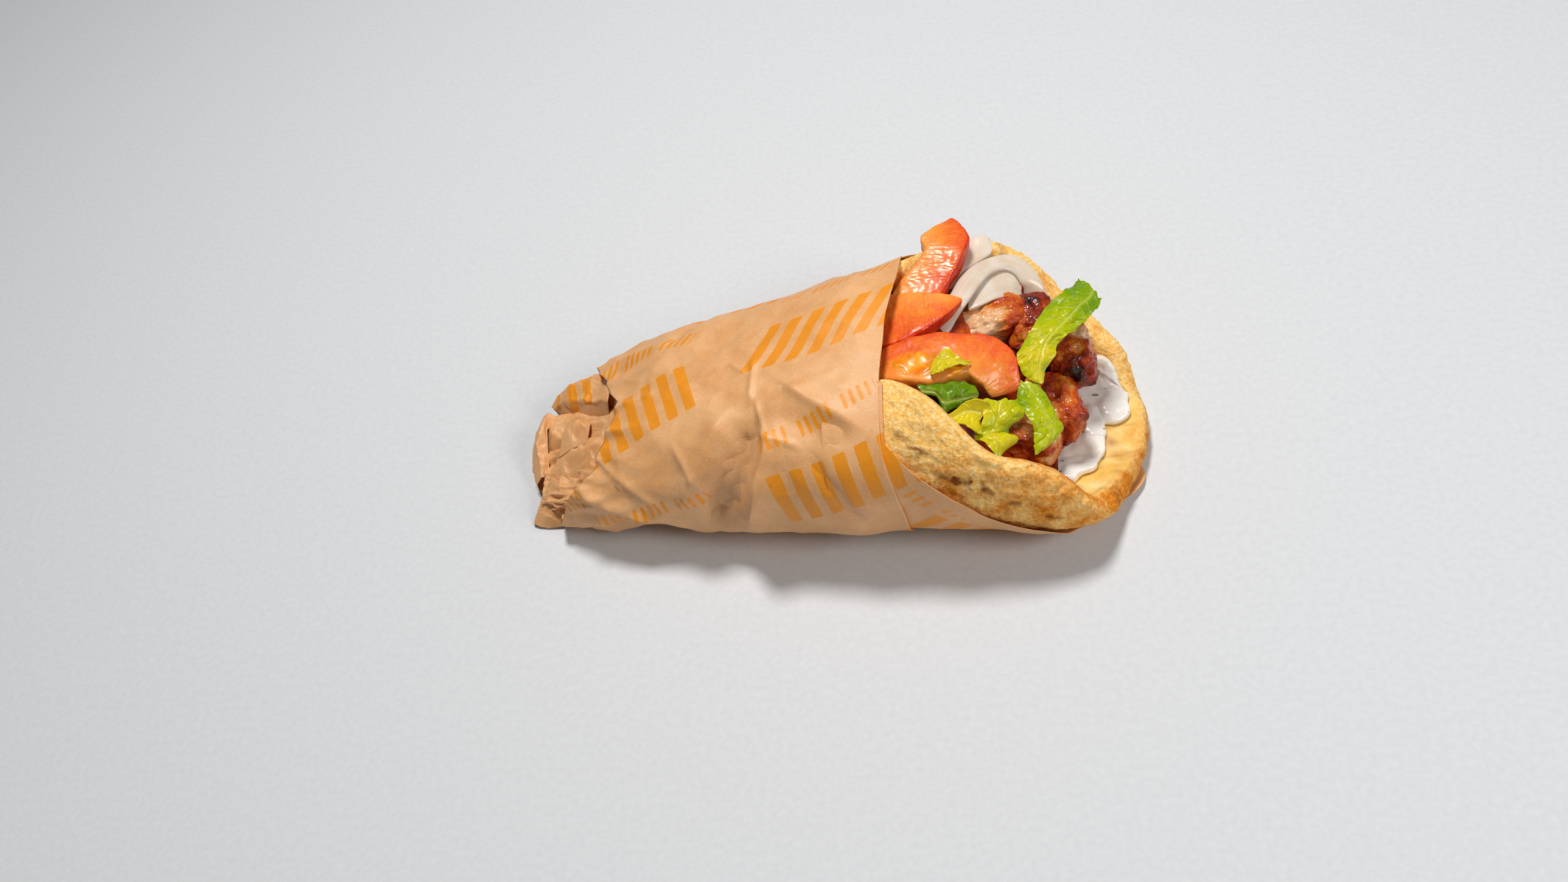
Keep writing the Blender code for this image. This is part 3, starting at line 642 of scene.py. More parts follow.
UNPRINTED = (300, 300)
FOLD_NETS = (
    # each with the place on the sheet where it begins, which is printed or far from any motif
    # the upper loop: a roll whose mouth faces the near side; rows run from the root to the tip
    ([[(30, 25, 20), (31, 23, 26), (30, 16, 29), (29, 9, 27), (28, 7, 21)],
      [(21, 28, 15), (22, 26, 22), (20, 20, 25), (19, 13, 24), (19, 9, 18)],
      [(12, 28, 9), (12, 27, 17), (11, 23, 21), (10, 17, 20), (11, 13, 14)],
      [(4, 25, 5), (4, 25, 12), (4, 22, 16), (5, 18, 16), (7, 14, 12)],
      [(1, 22, 4), (0, 21.5, 10), (1, 20, 13), (3, 18, 13.5), (6, 15, 11)]], (4, -9)),
    # the big pouch under it, folded down to the table at its outer end
    ([[(29, 14, 19), (20, 15, 17), (9, 14.5, 15), (2, 14, 14.5), (-2, 15, 9), (-1, 17, 1)],
      [(31, 8, 23), (22, 9, 20), (11, 10, 17), (3, 9, 15), (-3, 10, 8), (-3, 11, 1)],
      [(31, 2, 22), (23, 3, 18), (12, 4, 16), (5, 3, 14), (-1, 3, 8), (-4, 5, 1)],
      [(30, -3, 20), (22, -2, 17), (13, -1, 13), (7, 0, 11), (3, -2, 6), (-3, -2, 0.6)],
      [(26, -8, 14), (18, -7, 12), (11, -5, 9), (6, -5, 8), (2, -7, 4), (-1, -9, 0.5)]], UNPRINTED),
    # the flat facets between the pouch and the near corner
    ([[(31, -1, 20), (22, 0, 18.5), (15, 1, 17), (9, -1, 14)],
      [(30, -6, 22), (21, -5, 19.5), (13, -5, 15.5), (6, -6, 11)],
      [(24, -12, 18), (17, -11, 15), (10, -10, 12), (3, -9, 9)],
      [(18, -15, 12), (12, -14, 10), (7, -13, 9.5), (1.5, -10, 7)],
      [(14, -16, 4), (9, -15, 5), (5, -14, 6), (1, -11, 2)]], UNPRINTED),
    # the spike at the near corner: two faces that meet in a ridge, with a rolled outer edge
    ([[(5, -9, 9), (7, -12, 12.5), (12, -15, 12), (17, -18, 8)],
      [(2.4, -13, 7), (4.2, -15, 9.5), (10, -17.5, 10), (15, -21, 5)],
      [(0.4, -17, 4), (2, -19, 6), (7, -20, 6.5), (12, -23.5, 3)],
      [(-1.4, -20.5, 1.6), (-0.4, -22, 3), (3.5, -23, 3.5), (9.5, -25, 1)],
      [(-2, -23, 0.5), (-1.5, -23.6, 1.3), (0.5, -24.3, 1.2), (4, -25, 0.5)]], UNPRINTED),
    # a roll of layers down the pouch's outer side
    ([[(5, 13.5, 15), (2, 14.5, 16.2), (-1, 15, 14), (-1.5, 14, 9), (1, 13, 6)],
      [(2, 8, 14.5), (0, 8.5, 16.2), (-3, 8, 13), (-3.5, 8, 7), (0, 7, 5)],
      [(2.5, 3, 12.5), (-1, 2, 14.6), (-3.5, 2.5, 11.5), (-5, 1, 5), (-1, 1, 4)],
      [(3, -3, 9.5), (0, -3.5, 11.6), (-3.5, -4, 8), (-4, -4, 3), (0, -5, 3)],
      [(3.5, -8, 8), (1, -9, 9), (-1.5, -9.5, 6), (-2.5, -9, 1), (1, -10, 1)]], UNPRINTED),
    # a flap pinched up between the pouch and the sleeve's rim
    ([[(20, 9, 17), (16, 11, 18), (11, 9, 16.5)], [(21, 4, 20.5), (14, 5, 20), (9, 3, 16)],
      [(20, -2, 18), (14, -3, 16.5), (8, -4, 13)]], UNPRINTED),
)
for number, (net, shift) in enumerate(FOLD_NETS, 1):
    fold(number, net, shift)

# %% Build the gathered paper
DRAWN_IN, PRESSED_DOWN = 3.2, 0.26


def bundle():
    """The gathered paper under the folds: the wrap surface drawn in, pleated, dented and pressed down."""
    cols, rows = 260, 110
    u = -1 + 2 * (np.arange(cols + 1) + 0.5) / cols
    u = np.where(u > 1, u - 2, u)
    x = np.linspace(37, 1.5, rows)[:, None] + 0 * u
    w = u * half_round(x, u + 0 * x)
    ring = [26 * np.cos(u * np.pi) + 0 * x, 26 * np.sin(u * np.pi) + 0 * x]
    pleats = 1.9 * folds(np.stack([x * 0.35, *ring], -1), 10, 33, 2)
    dents = 1.3 * folds(np.stack([x, *ring], -1), 9, 35, 2)
    points = around(x, w, pleats + dents - DRAWN_IN)
    rim = curve(u, START_AT, START)
    points[..., 2] *= 1 - PRESSED_DOWN * (1 - smooth(x, rim - 9, rim))
    points[..., 2] = np.maximum(points[..., 2], 0.25)
    middle = points[:, :-1].mean(1)
    flat = np.stack([x + UNPRINTED[0], w + UNPRINTED[1], 0 * x + 900.0], -1)
    poles = [middle[0], middle[-1] + [-0.5, 0, 0]]
    return tube_mesh("tail_bundle", points[:, :-1], poles, PAPER_LOOK, uvs={"print": flat})


finish(bundle(), "paper_sleeve")

# %% [markdown]
# ### Flatbread
# Pita for souvlaki is a yeast dough without a pocket, pricked, baked on a hot plate and
# grilled again with oil. Its outside is dry and floury with brown toasted patches and a few
# scorched spots, its rim is crumbly, and its inside is smooth, yellow and oily. Marks on the
# mesh say how far a point is towards each of these, and the material mixes them.

# %% Pita material
def pita_crust():
    """Baked dough: pale flour over gold, brown where it touched the grill, oily inside."""
    made, tree, shader = new_material("baked_flatbread")
    place = add(tree, "TexCoord", out="Object")
    grain = add(tree, "TexNoise", {"Vector": place, "Scale": 1000 / 1.1, "Detail": 3.0, "Roughness": 0.65})
    cloud = add(tree, "TexNoise", {"Vector": place, "Scale": 1000 / 7, "Detail": 4.0, "Roughness": 0.6})
    toast, scorch, inside = (add(tree, "Attribute", out="Fac", attribute_name=name)
                             for name in ("toast", "scorch", "inside"))
    toast, burn = uneven(tree, toast, cloud, 1.1), uneven(tree, scorch, cloud, 0.9)
    crust = add(tree, "ValToRGB", {0: grain}, ((0.3, "f2aa44"), (0.5, "ffcc74"), (0.68, "ffe6aa")))
    crumb = add(tree, "ValToRGB", {0: cloud}, ((0.3, "eab04a"), (0.5, "f6cc74"), (0.7, "fde2a2")))
    baked = add(tree, "ValToRGB", {0: grain}, ((0.3, "be620a"), (0.7, "f69e24")))
    burnt = add(tree, "ValToRGB", {0: grain}, ((0.3, "5e2c0a"), (0.75, "a05a1a")))
    browned = add(tree, "MapRange", {0: toast, 1: 0.2, 2: 0.85})
    charred = add(tree, "MapRange", {0: burn, 1: 0.45, 2: 1.15})
    golden = add(tree, "MapRange", {0: toast, 1: 0.45, 2: 1.1})
    crust = add(tree, "Mix", {0: browned, 6: crust, 7: baked}, out=2, data_type="RGBA")
    crust = add(tree, "Mix", {0: charred, 6: crust, 7: burnt}, out=2, data_type="RGBA")
    crumb = add(tree, "Mix", {0: golden, 6: crumb, 7: linear("b5701f")}, out=2, data_type="RGBA")
    strength = add(tree, "MapRange", {0: inside, 3: 0.75, 4: 0.25})
    height = add(tree, "Math", {0: cloud, 1: 1.2, 2: grain}, operation="MULTIPLY_ADD")
    wire(tree, shader, {
        "Base Color": add(tree, "Mix", {0: inside, 6: crust, 7: crumb}, out=2, data_type="RGBA"),
        "Roughness": add(tree, "MapRange", {0: inside, 3: 0.85, 4: 0.5}),
        "Specular IOR Level": 0.25,
        "Subsurface Weight": 0.08, "Subsurface Radius": (0.004, 0.0022, 0.001), "Subsurface Scale": 0.6,
        "Normal": add(tree, "Bump", {"Strength": strength, "Distance": 0.0006, "Height": height}),
    })
    return made


BREAD_LOOK = pita_crust()

# %% Shape of the pita
SCORCHED = (
    # x, w and size
    (154, -75, 3.0), (160, -72, 3.4), (137, -87, 3.2), (142, -84, 2.6), (168, -66, 2.4), (149, -76, 2.2),
    (178, -60, 2.6), (201, -36, 3.4), (150, 100, 6.0), (170, 84, 5.0), (141, 60, 6.0), (186, 55, 4.0),
)
# w at x = 132 and at x = 192, and depth
WRINKLES = ((-96, -101, 0.4), (-90, -84, 0.45), (-83, -76, 0.4), (-77, -69, 0.45), (-71, -62, 0.5))
PRESSED_IN = 2.6


def chord(share):
    """The bread's half-width over its radius, on a superellipse: (1 - s^n)^(1/n)."""
    return np.maximum(1 - np.abs(share) ** BREAD_POWER, 0) ** (1 / BREAD_POWER)


def bread_width(x, side):
    """How far the bread reaches round the wrap at x."""
    half = BREAD_RADIUS * chord((x - LENGTH) / BREAD_RADIUS + 1)
    return half * np.where(side < 0, curve(x, REACH_AT, REACH_NEAR), curve(x, REACH_AT, REACH_FAR))


def spread(count):
    """Angles round the bread, more than five times as dense near the open end."""
    t = np.linspace(-np.pi, np.pi, 4001)
    weight = 0.22 + smooth(np.cos(t), -0.25, 0.25)
    total = np.concatenate([[0], np.cumsum((weight[1:] + weight[:-1]) / 2)])
    return np.interp(np.arange(count) / count, total / total[-1], t)


def toasted(x, w, share):
    """How brown the outside is: more towards the near edge, in soft patches and streaks, and at the rim."""
    point = np.stack([x, w, 0 * x], -1)
    low = smooth(w, -92, -72) * (w < 0)
    patch = rough(point, 12, 41, 3)
    streak = 0.3 * rough(point * [0.45, 1.3, 1], 6, 45, 2) * low
    rim = smooth(share, 0.975, 1.0) * (0.35 + 0.5 * rough(point, 5, 47, 3))
    return np.clip(0.56 * low - 0.06 + (0.14 + 0.2 * low) * patch + streak + rim, -0.3, 1.3)


def pita():
    """A round flatbread laid into the wrap surface, with a torn-looking rim and a wrinkled face.

    Its outer face is pressed in where the sleeve hides it, to leave room for deep creases."""
    turn = spread(520)
    share = np.sin(np.concatenate([np.linspace(0.06, 0.5, 10)[:-1], np.linspace(0.5, 1, 58)]) * np.pi / 2)
    share[:-1] *= 0.985
    edge = np.clip((1 - share) * BREAD_RADIUS / (BREAD / 2), 0, 1)
    thick = BREAD * np.sqrt(1 - (1 - edge) ** 2)
    depth = np.concatenate([(BREAD - thick) / 2, ((BREAD + thick) / 2)[-2::-1]])
    pressed = np.concatenate([PRESSED_IN * thick / BREAD, 0 * thick[-2::-1]])[:, None]
    share = np.concatenate([share, share[-2::-1]])
    ahead = share[:, None] * np.sign(np.cos(turn)) * np.abs(np.cos(turn)) ** (2 / BREAD_POWER)
    side = share[:, None] * np.sign(np.sin(turn)) * np.abs(np.sin(turn)) ** (2 / BREAD_POWER)
    x = LENGTH - BREAD_RADIUS * (1 - ahead)
    w = side / np.maximum(chord(ahead), 1e-3) * bread_width(x, side)
    point = np.stack([x, w, depth[:, None] + 0 * x], -1)
    inner = np.where(depth > BREAD / 2, 1.0, 0.0)[:, None]
    shown = smooth(x, 124, 136)
    outer = (1 - inner) * shown
    near_rim = smooth(share, 0.93, 1.0)[:, None]
    crumbs = (0.34 * rough(point, 1.9, 51, 2) + 0.45 * rough(point, 6.5, 52, 2)) * (outer + near_rim * 1.1)
    band, flat = 0.0, point * [1, 1, 0]
    warp = 2.6 * bumps(flat, 16, 55)
    for w_left, w_right, deep in WRINKLES:
        line = w_left + (w_right - w_left) * (x - 132) / 60 + warp
        band = band - deep * bell(w - line, 2.2) * smooth(bumps(flat, 14, int(-w_left)), -0.35, 0.25)
    soft = 0.55 * bumps(flat, 21, 57)
    bubbles = 0.35 * rough(flat, 9, 58, 2) + 0.12 * rough(point, 2.2, 59, 2)
    lift = outer * (band + soft) + crumbs - inner * (bubbles * shown + 0.3)
    rim = near_rim * 0.9 * rough(point, 5.0, 53, 3) * shown
    pressed = pressed * (1 - smooth(x, 118, 130))
    points = around(x, w, lift * (1 - near_rim * 0.4) - depth[:, None] - pressed)
    points = points + unit(points - around(x * 0 + 150, w * 0, -30.0 + 0 * x)) * rim[..., None] * 0.4
    points[..., 2] = np.maximum(points[..., 2], 0.6)
    ragged = 2.2 * rough(point, 4, 71, 4)
    burn = 0.9 * sum(bell(np.hypot((x - a) * 0.8, (w - b - (x - a) * 0.4) * 1.3) + ragged, size)
                     for a, b, size in SCORCHED)
    inside = np.clip(inner * smooth((1 - share) * BREAD_RADIUS, 0.5, 5.0)[:, None], 0, 1) + 0 * x
    toast = toasted(x, w, share[:, None] + 0 * x)
    middle = LENGTH - BREAD_RADIUS
    poles = [around(middle, 0.0, 0.0), around(middle, 0.0, -BREAD)]
    marks = {"toast": toast, "scorch": burn * (1 - 0.8 * inside), "inside": inside}
    return tube_mesh("folded_pita", points, np.array(poles), BREAD_LOOK, marks)


finish(pita(), "pita")

# %% [markdown]
# ### Grilled pork
# The meat is cut in chunks and grilled on a skewer. Its cut faces are pale with fine fibres,
# fat and marinade brown it to a glossy mahogany, and its ridges are burnt black. Each chunk
# is a squared ball with dents, and a mark that says how cooked a point is follows its height
# above the dents, because what stands out touches the grill.

# %% Pork material
def pork_glaze():
    """Meat from pale through mahogany to char, wet with fat."""
    made, tree, shader = new_material("char_grilled_pork")
    place = add(tree, "TexCoord", out="Object")
    fine = add(tree, "TexNoise", {"Vector": place, "Scale": 1000 / 0.8, "Detail": 4.0, "Roughness": 0.65})
    patch = add(tree, "TexNoise", {"Vector": place, "Scale": 1000 / 4.5, "Detail": 4.0, "Roughness": 0.6})
    cook = add(tree, "Attribute", out="Fac", attribute_name="cook")
    cook = uneven(tree, uneven(tree, cook, patch, 0.75), fine, 0.25)
    height = add(tree, "Math", {0: patch, 1: 1.5, 2: fine}, operation="MULTIPLY_ADD")
    wire(tree, shader, {
        "Base Color": add(tree, "ValToRGB", {0: cook}, (
            (0.0, "f2c496"), (0.98, "1a0a05"), (0.18, "e4a468"), (0.32, "dc7a18"), (0.46, "c44a08"),
            (0.62, "a02c06"), (0.8, "641806"))),
        "Roughness": add(tree, "MapRange", {0: fine, 1: 0.3, 2: 0.7, 3: 0.2, 4: 0.45}),
        "Specular IOR Level": 0.3, "Coat Weight": 0.4, "Coat Roughness": 0.1,
        "Subsurface Weight": 0.12, "Subsurface Radius": (0.003, 0.0012, 0.0006), "Subsurface Scale": 0.5,
        "Normal": add(tree, "Bump", {"Strength": 0.7, "Distance": 0.0005, "Height": height}),
    })
    return made


PORK_LOOK = pork_glaze()


# %% Pork chunks
def ball(level):
    """Points and faces of an even ball of triangles."""
    work = bmesh.new()
    bmesh.ops.create_icosphere(work, subdivisions=level, radius=1.0)
    points = np.array([v.co for v in work.verts])
    faces = [[v.index for v in f.verts] for f in work.faces]
    work.free()
    return points, faces


BALL, BALL_FACES = ball(6)


def chunk(number, centre, radii, turn, seed, cooked, pale=(0, 0, 0)):
    """A lump: |x|^n + |y|^n + |z|^n = 1, dented by noise, ribbed by fibres, sized, turned and placed."""
    power = 3.4
    shape = BALL / (np.abs(BALL) ** power).sum(1, keepdims=True) ** (1 / power)
    dents = 0.17 * rough(BALL, 0.95, seed, 3)
    ribs = 0.05 * folds(BALL * [1, 3.2, 3.2], 1.0, seed + 5, 3)
    shape = shape * (1 + dents + ribs)[:, None] * np.asarray(radii)
    a = np.radians(turn)
    spin = np.array([[np.cos(a), -np.sin(a), 0], [np.sin(a), np.cos(a), 0], [0, 0, 1]])
    points = shape @ spin.T + np.asarray(centre, float)
    points = points + 0.5 * (unit(shape) * rough(points, 2.8, seed + 9, 4)[:, None])
    # pale lowers the cook mark on one side; on pork 1 it points towards the lights, a painted highlight of
    # paler, more orange meat.
    cook = cooked + 1.4 * dents + 2.6 * ribs + 0.35 * bumps(points, 8, seed + 20) - BALL @ np.array(pale)
    obj = mesh_of(f"pork_chunk_{number}", points, BALL_FACES, PORK_LOOK, {"cook": cook})
    return finish(obj, f"pork_{number}")


PORK = [
    # Pork 1 has a painted highlight: its side facing the lights is paler and more orange.
    chunk(1, (186.4, 10.2, 30.5), (7.4, 10.3, 8.2), 10, 11, 0.42, (0.16, 0.24, 0.1)),
    chunk(2, (181, -6.5, 25.5), (7.2, 11.2, 8), 15, 12, 0.38),
    chunk(3, (162, 21, 37), (11, 9, 8), 30, 13, 0.16),
    chunk(4, (174, 18, 35), (7, 12, 8.5), -8, 14, 0.7),
    chunk(5, (171.5, -17.5, 24), (10.5, 7.6, 7.4), -10, 15, 0.32),
]
print(len(PORK), "chunks of pork")

# %% [markdown]
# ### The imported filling
# Under the pieces on show the bread is full of more meat and salad. It only shows as dark
# gaps, so it is one heaped body with the meat's finish.

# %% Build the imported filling
def heap(x, side):
    """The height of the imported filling, lower on the near side."""
    top = curve(x, (40, 60, 110, 130, 150, 160, 170, 178, 188), (25, 34, 46, 50, 47, 41, 34, 27, 15))
    return top - np.where(side < 0, 14 * smooth(x, 150, 170) * (1 - smooth(x, 172, 188)), 0)


def packed_filling():
    """A loft of rounded sections inside the bread, with a lumpy top."""
    inset = BREAD + 1.25
    x, t = np.linspace(42, 180.5, 120), np.linspace(0, 1, 26)
    sides = []
    for sign, wide, high in ((-1, NEAR_WIDE, NEAR_HIGH), (1, FAR_WIDE, FAR_HIGH)):
        a = curve(x, STATION, wide) - inset
        b = curve(x, STATION, high) - 0.5 * inset
        foot = PAPER_GAP + PAPER + inset
        top = np.minimum(heap(x, sign), foot + 1.9 * (b - 0.5 * inset))
        z = foot + (top - foot)[:, None] * t**1.5
        level = np.clip(np.abs((z - foot) / (b - 0.5 * inset)[:, None] - 1), 0, 1)
        y = sign * a[:, None] * np.maximum(1 - level**POWER, 0) ** (1 / POWER)
        sides.append(np.stack([x[:, None] + 0 * z, y, z], -1))
    near, far = sides
    blend = np.linspace(0, 1, 42)[1:-1, None]
    top = near[:, None, -1] * (1 - blend) + far[:, None, -1] * blend
    top[..., 2] += 1.6 * rough(top, 9, 4)
    rings = np.concatenate([near, top, far[:, ::-1][:, :-1]], axis=1)
    cook = 0.76 + 0.3 * rough(rings, 8, 77)
    return tube_mesh("packed_filling", rings, rings[[0, -1]].mean(1), PORK_LOOK, {"cook": cook})


finish(packed_filling(), "filling_core")

# %% [markdown]
# ### Slices and strips
# Tomato, onion and lettuce are all strips between two edges in space, like a road between
# two kerbs. A slice is a closed tube with a nearly square section, a leaf is a thin sheet.

# %% Strips between two edges
def rails(left, right, count):
    """A strip's middle line, the vector from it to the right edge, and the way the strip faces."""
    t = np.linspace(0, 1, count)
    a, b = (curve(t, np.linspace(0, 1, len(edge)), edge) for edge in (left, right))
    up = unit(np.cross(b - a, np.gradient((a + b) / 2, axis=0)))
    return t, (a + b) / 2, (b - a) / 2, up * np.sign(up[:, 2].mean())


def squared_oval(spokes, wide, deep, power):
    """Even steps round |x|^n + |y|^n = 1, stretched to this width and depth."""
    turn = np.linspace(0, 2 * np.pi, 4001)
    flat = np.sign(np.cos(turn)) * np.abs(np.cos(turn)) ** (2 / power)
    tall = np.sign(np.sin(turn)) * np.abs(np.sin(turn)) ** (2 / power)
    run = np.concatenate([[0], np.hypot(np.diff(flat) * wide, np.diff(tall) * deep).cumsum()])
    at = (np.arange(spokes) + 0.5) / spokes * run[-1]
    return np.interp(at, run, flat), np.interp(at, run, tall)


def slice_points(left, right, deep, count=170, spokes=110, power=8.0, blunt=30):
    """A strip's rings: a squared oval carried between the edges, narrowing at its ends."""
    t, middle, half, up = rails(left, right, count)
    thick = curve(t, np.linspace(0, 1, len(deep)), deep)
    flat, tall = squared_oval(spokes, 2 * np.linalg.norm(half, axis=1).mean(), thick.mean(), power)
    end = np.sqrt(np.maximum(1 - np.abs(2 * t - 1) ** blunt, 0)) * 0.85 + 0.15
    rings = middle[:, None] + half[:, None] * (flat * end[:, None])[..., None]
    rings = rings + up[:, None] * (tall * (thick * end)[:, None] / 2 - thick[:, None] / 2)[..., None]
    return rings, t, flat, tall, half, up


# %% [markdown]
# ### Tomato
# A slice of tomato has three stuffs: a thin deep-red skin along its outer edge, firm
# orange-red flesh with faint rays, and pockets of wet yellow seed jelly. Marks say where the
# skin and the jelly are.

# %% Tomato material
def tomato_flesh():
    """Wet fruit: light goes in and comes out red."""
    made, tree, shader = new_material("cut_tomato")
    place = add(tree, "TexCoord", out="Object")
    fine, patch = (add(tree, "TexNoise", {"Vector": place, "Scale": 1000 / grain_mm, "Detail": 3.0})
                   for grain_mm in (0.9, 5))
    ripe, in_skin, in_jelly = (add(tree, "Attribute", out="Fac", attribute_name=name)
                               for name in ("ripe", "skin", "jelly"))
    ripe = uneven(tree, ripe, patch, 0.9)
    in_skin = add(tree, "MapRange", {0: in_skin, 1: 0.25, 2: 0.75})
    flesh = add(tree, "ValToRGB", {0: ripe}, (
        (0.05, "f8a444"), (0.98, "d83004"), (0.4, "f28224"), (0.72, "ea540e")))
    fibres = add(tree, "ValToRGB", {0: fine}, ((0.35, "ea5a1c"), (0.7, "ffb078")))
    skin = add(tree, "ValToRGB", {0: fine}, ((0.3, "c82006"), (0.7, "e2400f")))
    jelly = add(tree, "ValToRGB", {0: patch}, ((0.35, "ee7a08"), (0.6, "fcae20")))
    colour = flesh
    for how_far, over in ((0.18, fibres), (in_skin, skin), (in_jelly, jelly)):
        colour = add(tree, "Mix", {0: how_far, 6: colour, 7: over}, out=2, data_type="RGBA")
    height = add(tree, "Math", {0: fine, 1: patch}, operation="ADD")
    wire(tree, shader, {
        "Base Color": colour,
        "Roughness": add(tree, "MapRange", {0: patch, 1: 0.3, 2: 0.7, 3: 0.24, 4: 0.42}),
        "Specular IOR Level": 0.35, "Coat Weight": 0.15, "Coat Roughness": 0.06,
        "Subsurface Weight": 0.1, "Subsurface Radius": (0.004, 0.0015, 0.0005), "Subsurface Scale": 0.5,
        "Normal": add(tree, "Bump", {"Strength": 0.1, "Distance": 0.0003, "Height": height}),
    })
    return made


TOMATO_LOOK = tomato_flesh()


def tomato(number, left, right, deep, skin_side, jelly_at):
    """A slice: skin on one long edge, jelly pockets that swell from its face."""
    rings, t, flat, tall, half, up = slice_points(left, right, deep)
    skin = smooth(flat * skin_side, 0.88, 0.99) + 0 * t[:, None]
    jelly = np.zeros(rings.shape[:2])
    for at, across, size, broad in jelly_at:
        jelly = jelly + bell((t[:, None] - at) / size, 1.0) * bell(flat - across, broad) * (tall > 0)
    jelly = smooth(jelly + 0.25 * rough(rings, 3.5, 85 + number, 2), 0.35, 0.7)
    run, over = t[:, None] * 60 + 0 * flat, 4 * flat + 0 * t[:, None]
    rays = 0.05 * folds(np.stack([run, over, 0 * run], -1), 2.6, 91)
    lumps = 0.35 * rough(rings, 8, 80 + number, 3) + 0.03 * rough(rings, 1.5, 90 + number, 2)
    lumps = lumps + rays * (1 - jelly)
    wet = jelly * (0.6 * bumps(rings, 4.5, 95 + number) + 0.3) - 0.25 * bell(jelly - 0.4, 0.25)
    rings = rings + up[:, None] * ((lumps + wet) * np.sign(tall))[..., None]
    rings = rings + half[:, None] * (0.06 * rough(rings, 6, 97 + number, 3) * flat)[..., None]
    ripe = 0.42 + 0.36 * flat * skin_side + 0.25 * (1 - np.abs(tall)) + 0 * t[:, None]
    marks = {"skin": skin, "jelly": jelly, "ripe": ripe}
    obj = tube_mesh(f"tomato_slice_{number}", rings, rings[[0, -1]].mean(1), TOMATO_LOOK, marks)
    return finish(obj, f"tomato_{number}")


TOMATOES = [
    tomato(1, [(127, 14, 50), (133, 26.2, 53), (137.6, 31.3, 55), (142, 37, 57), (141.5, 43, 58),
               (146.3, 48.8, 57)],
           [(145, 13, 50), (149.3, 24.2, 53), (152.5, 29.3, 55), (155.3, 35.2, 56.5), (156.8, 43.5, 56.5),
            (151.6, 54.2, 55.5)], (6, 6.5, 6.5, 6, 5, 4), 1, ()),
    tomato(2, [(154.4, 18.2, 53), (150.5, 19.3, 54), (145.7, 20.3, 54.5), (139.8, 22.3, 54),
               (132.8, 23.3, 53), (126, 25, 51)],
           [(154.6, 17, 53), (151.7, 12.9, 54), (146.9, 7.8, 55), (141.2, 3.9, 55), (134.9, 1.7, 54),
            (127, 0.5, 52)], (2, 4, 5, 5, 5, 5), 1, ()),
    tomato(3, [(126, -1.5, 53), (134.5, 0.7, 55), (142.6, 2.4, 56), (152.5, 1.7, 56), (161.8, 0.6, 55),
               (168, -2.2, 53), (171, -8.8, 50.5), (171.6, -13.3, 47.5), (170.9, -15.8, 45)],
           [(126, -13, 53), (135.9, -15.2, 55.5), (145.2, -17.7, 56), (151.6, -15.5, 55.5),
            (156, -14.4, 54), (158.5, -15.7, 52), (160.6, -16.8, 49.5), (161.7, -17.7, 47.5),
            (162.6, -18.1, 45.5)],
           (6, 7, 7, 7, 7, 6.5, 6, 6, 6), -1, ((0.2, 0.3, 0.11, 0.55), (0.4, 0.7, 0.06, 0.3))),
]
print(len(TOMATOES), "slices of tomato")

# %% [markdown]
# ### Onion
# Raw onion is a stack of clear white layers. Light passes through it, and fine veins run
# along each strip.

# %% Onion material and strips
def onion_flesh():
    """Clear, slightly creamy white with fine lengthwise veins, moist and a little see-through."""
    made, tree, shader = new_material("raw_onion")
    drawn = add(tree, "Mapping", {0: add(tree, "UVMap", uv_map="strip"), "Scale": (60.0, 1400.0, 1.0)})
    lines = add(tree, "TexNoise", {"Vector": drawn, "Scale": 1.0, "Detail": 2.0})
    patch = add(tree, "TexNoise", {"Vector": add(tree, "TexCoord", out="Object"), "Scale": 1000 / 6})
    tone = add(tree, "ValToRGB", {0: lines}, ((0.3, "e2ccb8"), (0.66, "f2e4d4")))
    tint = add(tree, "ValToRGB", {0: patch}, ((0.35, "e2c6a8"), (0.65, "f4e8da")))
    wire(tree, shader, {
        "Base Color": add(tree, "Mix", {0: 0.5, 6: tone, 7: tint}, out=2, data_type="RGBA"),
        "Roughness": 0.25, "Transmission Weight": 0.08,
        "Subsurface Weight": 0.3, "Subsurface Radius": (0.006, 0.005, 0.004), "Subsurface Scale": 0.8,
        "Normal": add(tree, "Bump", {"Strength": 0.05, "Distance": 0.0002, "Height": lines}),
    })
    return made


ONION_LOOK = onion_flesh()


def onion(number, node, left, right, arch):
    """A strip of one layer, arched across its width."""
    rings, _, flat, _, half, up = slice_points(left, right, (1.5, 1.5), spokes=60, power=5.0, blunt=60)
    rings = rings + up[:, None] * ((arch * (1 - flat**2)) + 0.3 * rough(rings, 8, 120 + number, 2))[..., None]
    run = np.cumsum(np.linalg.norm(np.diff(rings[:, 0], axis=0, prepend=rings[:1, 0]), axis=-1))
    flat = np.append(flat, flat[0])
    uv = np.stack([run[:, None] + 0 * flat, flat * np.linalg.norm(half, axis=1)[:, None]], -1) / 1000
    obj = tube_mesh(f"onion_piece_{number}", rings, rings[[0, -1]].mean(1), ONION_LOOK, uvs={"strip": uv})
    return finish(obj, node)


